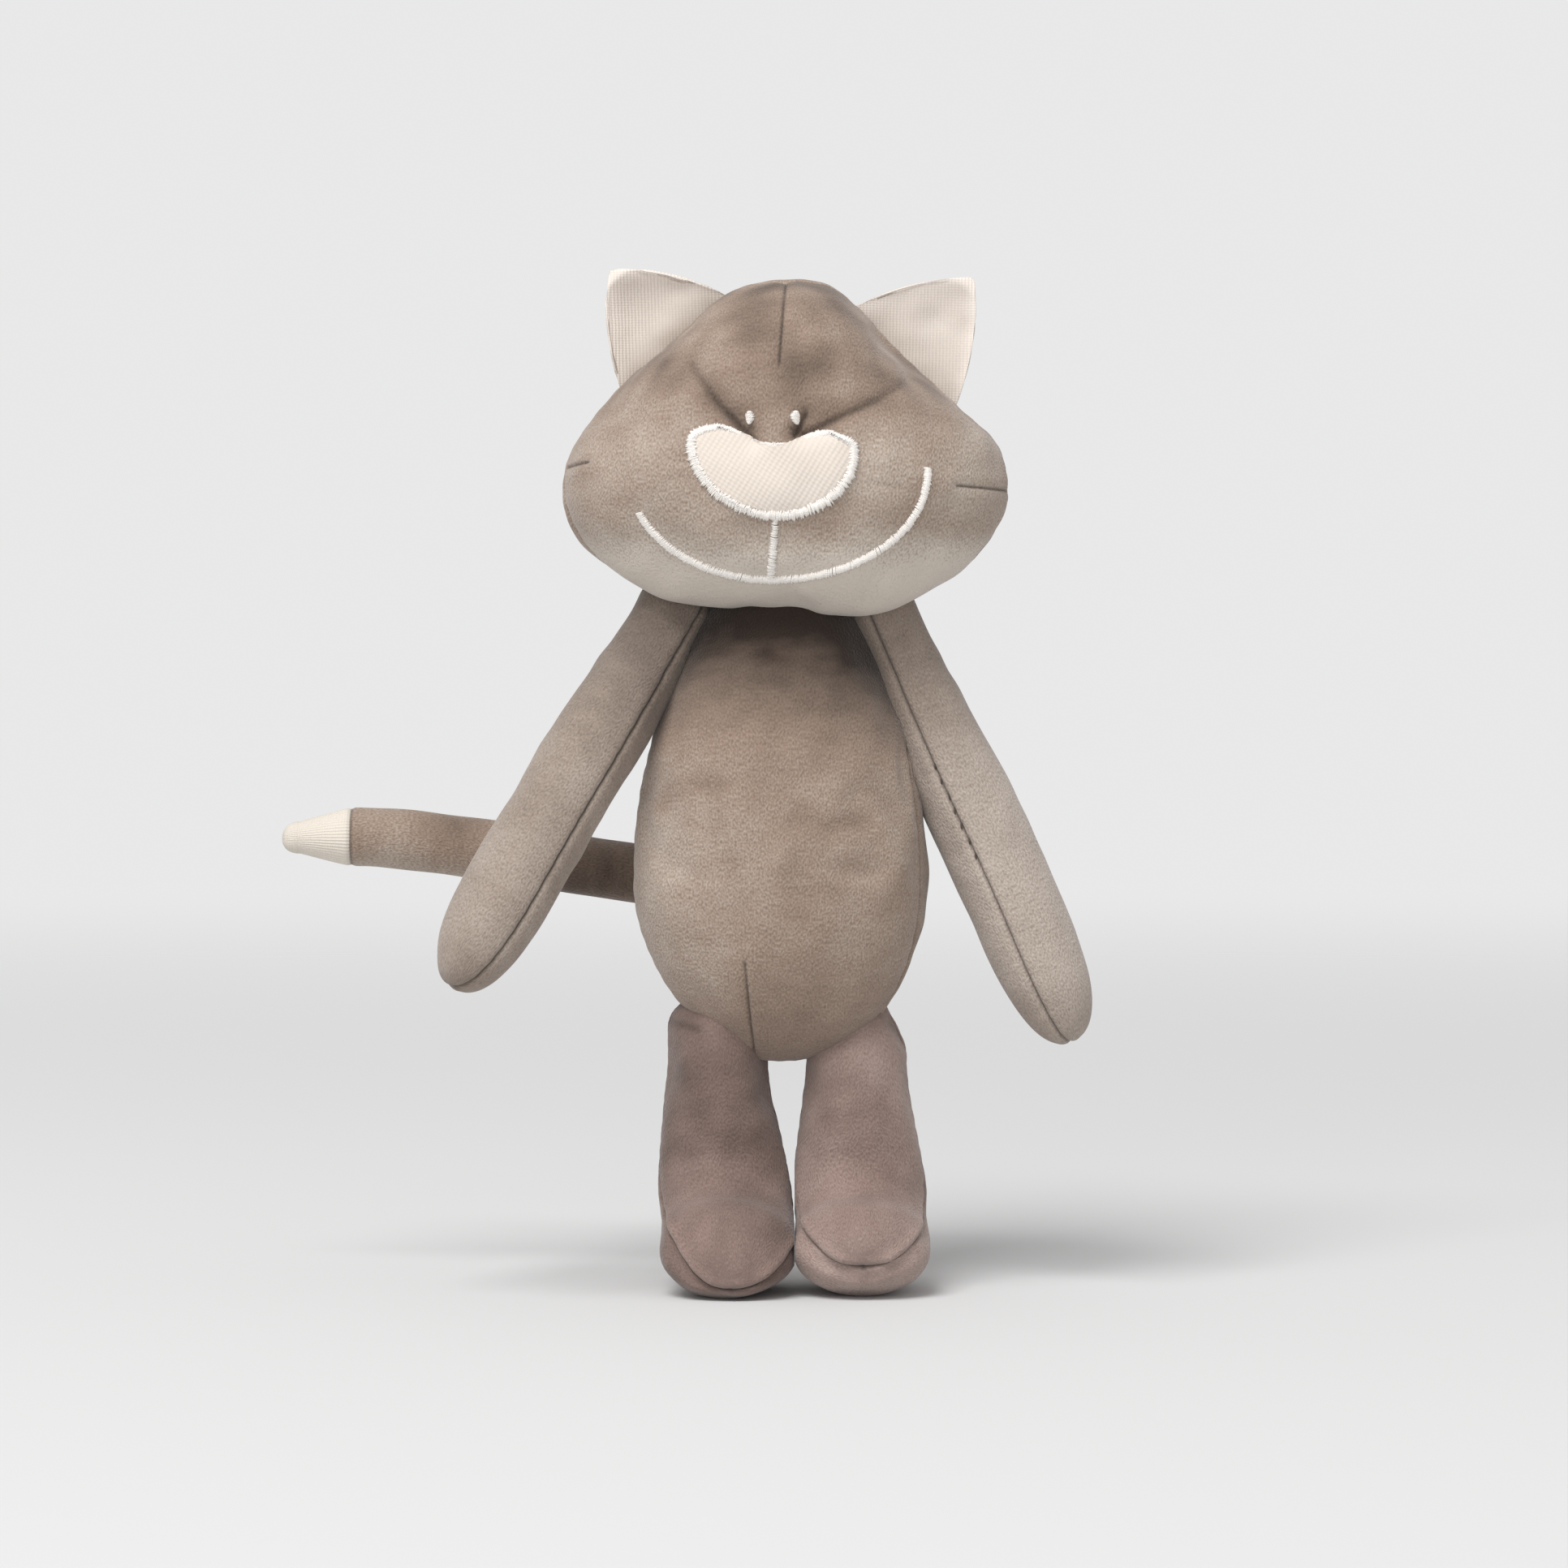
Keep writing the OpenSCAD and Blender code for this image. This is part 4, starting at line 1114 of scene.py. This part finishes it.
def build_stitching(surface):
    rng = np.random.default_rng(SEEDS["face"])

    def border(t):
        return nose_outline(math.tau * (t % 1), BORDER_GROWTH)

    def border_width(t):
        upper = math.sqrt(max(0, math.sin(math.tau * t)))
        return BORDER_WIDTH * (1 - BORDER_TOP_LOSS * upper - float(bumps(t, BORDER_DIP_LOSS)))

    def smile(t):
        a = math.radians(mix(*SMILE_ANGLES, t))
        reach = SMILE_REACH["left" if math.cos(a) > 0 else "right"]
        return (FACE_SHIFT + reach * math.cos(a), SMILE_BOTTOM_Z + SMILE_HEIGHT * (1 + math.sin(a)))

    def lip_line(t):
        return (FACE_SHIFT + mix(*LIP_LINE_SHIFT, t), mix(LIP_LINE_TOP_Z, SMILE_BOTTOM_Z, t))

    def eye_width(t):
        return EYE_SIZE[0] * max(EYE_END_WIDTH, math.sin(math.pi * t ** EYE_FULLEST) ** EYE_ROUNDNESS)

    threads = satin_line(surface, rng, border, border_width,
                         count=560, height=1, slant=0.06, rough=0.18, start=0.6)
    stitched("nose_border_threads", "nose_border_stitching", threads, radius=0.31)
    threads = satin_line(surface, rng, smile, lambda t: STITCH_WIDTH, count=400)
    stitched("smile_threads", "mouth_stitching", threads, radius=0.28)
    threads = satin_line(surface, rng, lip_line, lambda t: mix(*LIP_LINE_WIDTH, t), count=52, slant=0.05)
    stitched("lip_line_threads", "philtrum_stitching", threads, radius=0.27)
    for side, eye_x in EYE_X.items():
        threads = satin_line(surface, rng, lambda t: (eye_x, EYE_Z + EYE_SIZE[1] * (0.5 - t)), eye_width,
                             count=14, height=1.2, slant=0.05, rough=0.04)
        stitched(f"{side}_eye_threads", f"{side}_eye_stitching", threads, radius=0.3)


# Ears

def build_ears():
    rows, cols = EAR_GRID
    v = (1 - np.linspace(0, 1, rows)[:, None] ** EAR_TIP_GATHER) * np.ones((1, cols))
    u = np.cos(np.linspace(0, math.pi, cols))[None, :]
    flesh = EAR_THICKNESS * swell(u, EAR_FLATNESS) * smooth((1 - v) / EAR_TIP_TAPER)
    back = np.array([0, 1, 0])
    # Side of the ear that a layer lies on, share of the thickness, distance inside the edge, cloth and slot
    layers = {
        "front": (-1, 0.35, 0, EAR_KNIT, "cream_knit"),
        "back": (1, 0.8, EAR_RIM, VELOUR, "velour"),
    }
    for side, sign in SIDES.items():
        pivot = joint_place(f"{side}_ear_flop")
        axis = joint_value(f"{side}_ear_flop", "axis")
        base = -sign * axis * np.sign(axis[0])
        up = np.array([sign * abs(axis[2]), 0, abs(axis[0])])
        hollow = EAR_HOLLOW[side] * np.sin(math.pi * np.minimum(1, v / EAR_HOLLOW_TOP)) * swell(u, 2)
        for layer, (way, plump, inset, material, slot) in layers.items():
            half = (EAR_WIDTH / 2 - inset) * swell(v, EAR_ROUNDNESS)
            along = half * u + EAR_SLIDE[side]
            height = (EAR_HEIGHT[side] - inset) * v - EAR_TUCK
            depth = hollow + way * (EAR_CLOTH + plump * flesh)
            grid = pivot + along[..., None] * base + height[..., None] * up + depth[..., None] * back
            normal = grid_normals(grid, False, grid.mean((0, 1)) - way * EAR_HEIGHT[side] * back)
            gap = np.minimum(half * (1 - np.abs(u)), EAR_HEIGHT[side] * (1 - v))
            grid = grid + normal * lumps(grid, SEEDS["ear"], EAR_LUMPS)[..., None]
            # Painted shade at the ear's base and painted sheen along its edges
            nap = EAR_NAP + bumps(height, EAR_BASE_SHADE[side]) + bumps(gap, EAR_EDGE_LIGHT)
            uv = np.stack([along, height], axis=2)
            marks = {"nap": nap, "crease": np.zeros_like(gap)}
            piece = panel(f"{side}_ear_{layer}", grid, normal, uv, False, marks, material, EAR_CLOTH)
            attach(finish_piece(piece, [f"{side}_ear_{layer}_panel"]), f"{side}_ear")


# Limbs: tubes whose two panels meet along both sides

def seam_gaps(angles, radius):
    """Distance from each point of a tube to the nearer of its seams."""
    return radius * np.arcsin(np.abs(np.sin(angles)))


def dress_limb(grid, middle, gap, along, seed, layers, extra):
    """Seams, puckers, lumps and extra relief on a limb; returns its points and normals."""
    normal = grid_normals(grid, True, middle)
    rise = seam_shape(gap, along) + extra + smooth(gap / LIMB_LUMP_FADE) * lumps(grid, seed, *layers)
    return grid + normal * rise[..., None], normal


def halves(values, half_count):
    """The two halves of a closed ring of columns, which share the columns at their seams."""
    around = np.concatenate([values, values[:, :1]], axis=1)
    return around[:, :half_count + 1], around[:, half_count:]


def limb_panels(names, grid, normal, uv, marks, half_count, material):
    """Two panels of a limb, as a list of objects."""
    sets = [halves(values, half_count) for values in (grid, normal, uv)]
    mark_sets = {mark: halves(values, half_count) for mark, values in marks.items()}
    return [
        panel(name, *(values[k] for values in sets), False, {m: v[k] for m, v in mark_sets.items()}, material)
        for k, name in enumerate(names)
    ]


def seam_column(angles):
    """How many columns lie before the second seam, once a column is put on it."""
    k = int(np.argmin(np.abs(angles - math.pi)))
    angles[k] = math.pi
    return k


def finish_limb(pieces, body, stuffed):
    """Hides the frame's parts that a limb's two panels stand in for, and bakes their places into their
    meshes.
    """
    for obj in pieces:
        nodes = [f"{obj.name}_panel"]
        if obj.name.endswith(stuffed):
            nodes.append(f"{body}_stuffing")
        finish_piece(obj, nodes)
        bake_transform(obj)


# Arms

def arm_radius(side, s):
    root, full, full_at = ARM_ROOT_RADIUS[side], ARM_RADIUS[side], ARM_FULL_AT[side]
    shaft = mix(root, full, smooth(s / full_at))
    hand = full * swell((s - ARM_HAND_START) / (ARM_LENGTH[side] - ARM_HAND_START), HAND_ROUNDNESS)
    root_dome = swell(np.minimum(s + ARM_ROOT_RISE, 0) / ARM_ROOT_DOME, 2)
    return np.where(s < ARM_HAND_START, shaft * root_dome, hand)


def arm_frame(side):
    """Directions of an arm: down along it, towards its front seam, and across."""
    sign = SIDES[side]
    splay, reach = math.radians(ARM_SPLAY[side]), math.radians(ARM_REACH[side])
    turn = math.radians(ARM_SEAM_TURN[side])
    ry = np.array([[math.cos(splay), 0, -sign * math.sin(splay)], [0, 1, 0],
                   [sign * math.sin(splay), 0, math.cos(splay)]])
    rx = np.array([[1, 0, 0], [0, math.cos(reach), math.sin(reach)], [0, -math.sin(reach), math.cos(reach)]])
    place = rx @ ry
    down = place @ np.array([0, 0, -1])
    seam = place @ np.array([-sign * math.sin(turn), -math.cos(turn), 0])
    return down, seam, np.cross(down, seam)


def arm_middle(side, s):
    """Middle of an arm at distances along it; its root is drawn in towards the body."""
    shoulder = joint_place(f"{side}_shoulder_swing")
    outward = SIDES[side] * (ARM_OUT[side] - ramps(s, ARM_ROOT_TUCK[side]))
    return shoulder + s[:, None] * arm_frame(side)[0] + outward[:, None] * np.array([1, 0, 0])


def build_arm(side):
    arm = f"{side}_arm"
    down, seam, across = arm_frame(side)
    angles = gathered(*ARM_COLUMNS)
    half = seam_column(angles)
    hand_turn = np.linspace(0, math.pi / 2, ARM_ROWS["hand"])
    hand = ARM_HAND_START + (ARM_LENGTH[side] - ARM_HAND_START) * np.cos(hand_turn)
    shaft = np.linspace(ARM_HAND_START, -ARM_ROOT_RISE, ARM_ROWS["shaft"])
    dome = -ARM_ROOT_RISE - ARM_ROOT_DOME * np.sin(np.linspace(0, ARM_ROOT_DOME_TURN, ARM_ROWS["dome"]))
    s = np.concatenate([hand, shaft[1:], dome[1:]])
    radius = arm_radius(side, s)
    middle = arm_middle(side, s)
    ring = np.cos(angles)[:, None] * seam + np.sin(angles)[:, None] * across
    tube = middle[:, None] + radius[:, None, None] * ring
    grid = settled(tube, [len(s) - 1], [0, half], CLOTH_REACH["arm"])
    gap = seam_gaps(angles[None, :], radius[:, None])
    along = s[:, None] * np.ones((1, len(angles)))
    waves = np.sin(ARM_GATHER_WAVES * angles + ARM_GATHER_START)
    waves = waves * np.sin(along / ARM_GATHER_PITCH + ARM_GATHER_SWAY * np.sin(angles))
    gathers = bumps(along, ARM_GATHERS) * waves
    points, normal = dress_limb(grid, middle[:, None], gap, along, SEEDS[arm], ARM_LUMPS, gathers)
    uv = np.stack([radius.max() * angles[None, :] * np.ones_like(gap), along], axis=2)
    # Painted shade at the shoulder, darker towards the hand, and painted shade along the seams
    nap = ARM_NAP[side] + bumps(along, ARM_ROOT_SHADE[side]) + ramps(along, ARM_HAND_SHADE[side])
    nap = nap + smudges(grid, SEEDS["arm_nap"])
    marks = {"nap": nap, "crease": ARM_SEAM_SHADE * seam_shade_line(gap)}
    panels = ("outer", "inner")[::SIDES[side]]
    pieces = limb_panels([f"{arm}_{name}" for name in panels], points, normal, uv, marks, half, ARM_VELOUR)
    finish_limb(pieces, arm, "inner")


def build_closing_stitches():
    rng = np.random.default_rng(SEEDS["closing"])
    _, seam, across = arm_frame("left")
    t = np.linspace(-1, 1, THREAD_POINTS)
    strands = []
    for k in range(CLOSING_COUNT):
        s = CLOSING_START + k * CLOSING_PITCH + CLOSING_HALF_LENGTH * t
        lift = arm_radius("left", s) - CLOSING_SINK + CLOSING_RISE * (1 - t * t)
        drift = CLOSING_LEAN * t + rng.normal(0, CLOSING_DRIFT)
        strands.append(arm_middle("left", s) + lift[:, None] * seam + drift[:, None] * across)
    piece = strands_object("left_arm_closing_threads", strands, radius=0.34, material=GREY_THREAD)
    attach(finish_piece(piece, ["left_arm_closing_stitches"]), "left_arm")


# Legs

def leg_rows(hip, toe_drop, top_round):
    """Rows of a leg from the toe up.

    Each has its middle, bend, half width, depth in front and behind, and share of the toe.
    """
    shin = hip[2] - ANKLE_HEIGHT
    bend = math.radians(ANKLE_ANGLE)
    forward = np.array([0, -math.sin(bend), -math.cos(bend)])
    rows = []

    def middle(b):
        return np.array([0, -ANKLE_BEND * (1 - math.cos(b)), -shin - ANKLE_BEND * math.sin(b)])

    def width(s):
        return LEG_TOP_WIDTH + float(ramps(s, LEG_WIDENING))

    def heel(b):
        return LEG_ROOT * (1 + HEEL_SWELL * math.sin(2 * b))

    def instep(b):
        return float(mix(LEG_ROOT, INSTEP, smooth(b / bend)))

    for t in np.cos(np.linspace(0, math.pi / 2, LEG_ROWS["toe"])):
        k = float(swell(t, TOE_ROUNDNESS))
        here = middle(bend) + TOE_LENGTH * t * forward - np.array([0, 0, toe_drop * t * t])
        rows.append((here, bend, FOOT_HALF_WIDTH * k, instep(bend) * k, heel(bend) * k, t))
    for b in np.linspace(bend, 0, LEG_ROWS["ankle"])[1:]:
        rows.append((middle(b), b, width(shin + ANKLE_BEND * b), instep(b), heel(b), 0))
    for s in np.linspace(shin, -LEG_TOP_RISE, LEG_ROWS["shin"])[1:]:
        top = float(1 - LEG_TOP_NARROWING * smooth((top_round - LEG_TOP_RISE - s) / top_round))
        rows.append((np.array([0, 0, -s]), 0, width(s) * top, LEG_ROOT * top, LEG_ROOT * top, 0))
    return rows


def leg_grid(side, hip, rows, angles):
    """Points round a leg; its sole lies flat on the floor and its seam turns with the foot."""
    grid = np.zeros((len(rows), len(angles), 3))
    edge_turn = np.radians(np.where(np.cos(angles) > 0, *FOOT_SEAM_TURN[side]))
    for i, (middle, bend, width, front, back, toe_share) in enumerate(rows):
        rise = np.array([0, -math.cos(bend), math.sin(bend)])
        if bend > 0:
            clear = hip[2] + middle[2] + SOLE_FLAT - TOE_SPRING[side] * toe_share ** 2
            back = min(back, max(SOLE_LEAST_DEPTH, clear / math.sin(bend)))
        turn = edge_turn * float(smooth(swell(toe_share, TOE_ROUNDNESS)))
        turned = angles - turn * math.sin(bend) * np.cos(angles)
        depth = np.where(np.sin(turned) > 0, front, back) * np.sin(turned)
        grid[i] = middle + width * np.cos(turned)[:, None] * np.array([1, 0, 0]) + depth[:, None] * rise
    drop = np.maximum(0, -grid[..., 2]) / hip[2]
    grid[..., 0] += mix(LEG_SHIFT[side], FOOT_SHIFT[side], drop)
    grid[..., 1] += ANKLE_BACK * smooth(drop * hip[2] / ANKLE_HEIGHT)
    return grid + hip


def build_leg(side):
    leg = f"{side}_leg"
    sign = SIDES[side]
    hip = joint_place(f"{side}_hip_swing")
    angles = gathered(*LEG_COLUMNS)
    half = seam_column(angles)
    rows = leg_rows(hip, TOE_DROP[side], LEG_TOP_ROUND[side])
    grid = settled(leg_grid(side, hip, rows, angles), [len(rows) - 1], [0, half], CLOTH_REACH["leg"])
    middles = np.array([row[0] for row in rows])[:, None] + hip
    widths = np.array([max(row[2], LEG_LEAST_WIDTH) for row in rows])[:, None]
    gap = seam_gaps(angles[None, :], widths)
    along = row_lengths(grid)
    is_front = (np.sin(angles) > -1e-9)[None, :]
    toe = 1 - ramps(along, TOE_END)
    lip = np.where(is_front, bumps(gap, TOE_LIP), bumps(gap, SOLE_SINK))
    lip = lip * (1 + lumps(grid, SEEDS["toe_lip"], TOE_LIP_LUMPS)) * smooth(widths / TOE_TIP_FADE)
    fold = hill(line_gap(grid[..., 0], grid[..., 2], HIP_FOLDS[side]), HIP_FOLD_WIDTH) * is_front
    extra = toe * lip - HIP_FOLD_DEPTH * fold
    points, normal = dress_limb(grid, middles, gap, along, SEEDS[leg], LEG_LUMPS, extra)
    points[..., 2] = np.maximum(points[..., 2], 0)
    points[..., 0] = sign * np.maximum(sign * points[..., 0], sign * FEET_MEET_X + FEET_GAP)
    uv = np.stack([LEG_UV_RADIUS * angles[None, :] * np.ones_like(gap), along], axis=2)
    z = points[..., 2]
    # Painted shade in the hip fold, painted sheen beside the toe seam, and painted shade along the seams
    nap = mix(FOOT_NAP[side], SHIN_NAP[side], ramps(z, SHIN_START)) - HIP_FOLD_SHADE * fold
    nap = nap + bumps(z, FOOT_LIGHT) + LEG_SMUDGES * smudges(grid, SEEDS["leg_nap"])
    nap = nap + toe * np.where(is_front, bumps(gap, TOE_EDGE_LIGHT), SOLE_NAP[side])
    marks = {"nap": nap, "crease": seam_shade_line(gap)}
    names = (f"{leg}_front", f"{leg}_sole")
    pieces = limb_panels(names, points, normal, uv, marks, half, LEG_VELOUR)
    finish_limb(pieces, leg, "sole")


# Tail

def tail_piece(name, nodes, s, radius, slot, material):
    """A length of the tail, from its middle's distances along the tail and its radius there."""
    angles = np.linspace(0, math.tau, TAIL_COLUMNS)
    t = np.maximum(0, s) / TAIL_LENGTH
    tuck = TAIL_ROOT_TUCK * (1 - ramps(s, TAIL_TUCK_END)) ** TAIL_TUCK_POWER
    lift = TAIL_LIFT * np.sin(math.radians(TAIL_LIFT_TURN) * t ** TAIL_LIFT_POWER) - TAIL_SINK
    middle = joint_place("tail_swing") + np.stack([-s, -TAIL_HUG * t * t - tuck, lift], axis=1)
    ring = np.stack([np.zeros_like(angles), np.cos(angles), np.sin(angles)], axis=1)
    grid = middle[:, None] + np.maximum(radius, POINT_RADIUS)[:, None, None] * ring
    normal = grid_normals(grid, False, middle[:, None])
    along = s[:, None] * np.ones((1, len(angles)))
    join = np.abs(along - TIP_START)
    rise = bumps(join, TAIL_JOIN) + lumps(grid, SEEDS["tail"], TAIL_LUMPS)
    points = grid + normal * rise[..., None]
    points[:, -1] = points[:, 0]
    uv = np.stack([TAIL_RADIUS * angles[None, :] * np.ones_like(along), along], axis=2)
    # Painted shadow near the tail's root, and a painted shade line at the tip's join
    nap = np.full(along.shape, TIP_NAP)
    if slot == "velour":
        nap = TAIL_NAP + bumps(along, TAIL_SHADE) + lumps(grid, SEEDS["tail_nap"], TAIL_NAP_LUMPS)
    marks = {"nap": nap, "crease": hill(join, TAIL_JOIN_LINE)}
    return finish_piece(panel(name, points, normal, uv, False, marks, material), nodes)


def build_tail():
    dome = -TAIL_ROOT_LENGTH * np.cos(np.linspace(0, math.pi / 2, TAIL_ROWS["dome"]))
    s = np.concatenate([dome, np.linspace(0, TIP_START, TAIL_ROWS["tube"])[1:]])
    radius = TAIL_RADIUS * swell(np.minimum(s, 0) / TAIL_ROOT_LENGTH, 2)
    tube = tail_piece("tail_cloth", ["tail_tube", "tail_stuffing"], s, radius, "velour", VELOUR)
    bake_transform(tube)

    round_start = TAIL_LENGTH - TIP_ROUND
    end_turn = np.linspace(0, math.pi / 2, TAIL_ROWS["tip_end"])
    s = np.concatenate([
        TAIL_LENGTH - TIP_ROUND * (1 - np.cos(end_turn)),
        np.linspace(round_start, TIP_START, TAIL_ROWS["tip"])[1:],
    ])
    cone = mix(TAIL_RADIUS, TIP_RADIUS, np.clip((s - TIP_START) / (round_start - TIP_START), 0, 1))
    radius = np.where(s > round_start, TIP_RADIUS * swell((s - round_start) / TIP_ROUND, TIP_ROUNDNESS), cone)
    tip = tail_piece("tail_tip_cloth", ["tail_tip"], s, radius, "cream_knit", TIP_KNIT)
    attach(tip, "tail")


build_body()
face_cloth = Surface(build_head())
build_nose_patch(face_cloth)
build_stitching(face_cloth)
build_ears()
for side_name in SIDES:
    build_arm(side_name)
    build_leg(side_name)
build_closing_stitches()
build_tail()
frame["nodes"]["neck_stitching"].data.materials.clear()
frame["nodes"]["neck_stitching"].data.materials.append(GREY_THREAD)


# Studio

def build_stage():
    """A pale floor that fades into the background far from the cat."""
    cols = FLOOR_COLUMNS
    around = np.linspace(0, math.tau, cols, endpoint=False)
    points = [(reach * math.cos(a), reach * math.sin(a), 0) for reach in FLOOR_RINGS for a in around]
    faces = [
        (i * cols + j, (i + 1) * cols + j, (i + 1) * cols + (j + 1) % cols, i * cols + (j + 1) % cols)
        for i in range(len(FLOOR_RINGS) - 1) for j in range(cols)
    ]
    faces.append(tuple(range(cols)))
    s = Shader("pale_floor", roughness=0.95, sheen=0, specular=0)
    s.surface["Base Color"].default_value = FLOOR_COLOUR
    s.put(s.surface["Alpha"], s.sum("SUBTRACT", 1, s.mark("fade")))
    fade = smooth((np.repeat(FLOOR_RINGS, cols) - FLOOR_CLEAR) / (FLOOR_REACH - FLOOR_CLEAR))
    mesh_object("studio_floor", points, faces, marks={"fade": fade}, material=s.material)


def add_lamp(name, place, size, power):
    lamp = bpy.data.lights.new(name, "AREA")
    lamp.shape = "SQUARE"
    lamp.size = size * MM
    lamp.energy = power
    obj = linked(name, lamp)
    obj.location = Vector(place) * MM
    obj.rotation_euler = (Vector(LAMP_AIM) - Vector(place)).to_track_quat("-Z", "Y").to_euler()


def build_light():
    """An even background with more light from above than from below, and large soft lamps."""
    world = bpy.data.worlds.new("studio_sky")
    world.use_nodes = True
    sky = Nodes(world.node_tree)
    place = sky.add("ShaderNodeTexCoord").outputs["Generated"]
    height = sky.add("ShaderNodeSeparateXYZ", {"Vector": place}).outputs["Z"]
    share = sky.sum("MULTIPLY_ADD", height, 0.5, 0.5)
    colour = sky.ramp(share, [(at, (level, level, level, 1)) for at, level in SKY])
    sky.put(sky.tree.nodes["Background"].inputs["Color"], colour)
    bpy.context.scene.world = world
    for name, lamp in LAMPS.items():
        add_lamp(name, *lamp)


def build_camera():
    camera = bpy.data.cameras.new("camera")
    camera.sensor_width = SENSOR_WIDTH
    camera.lens = SENSOR_WIDTH * CAMERA_DISTANCE / PICTURE_WIDTH
    obj = linked("camera", camera)
    tilt = math.radians(CAMERA_ELEVATION)
    aim = Vector(VIEW_CENTRE)
    obj.location = (aim + CAMERA_DISTANCE * Vector((0, -math.cos(tilt), math.sin(tilt)))) * MM
    obj.rotation_euler = (math.pi / 2 - tilt, 0, 0)
    bpy.context.scene.camera = obj


build_stage()
build_light()
build_camera()
bpy.context.scene.view_settings.view_transform = "Standard"
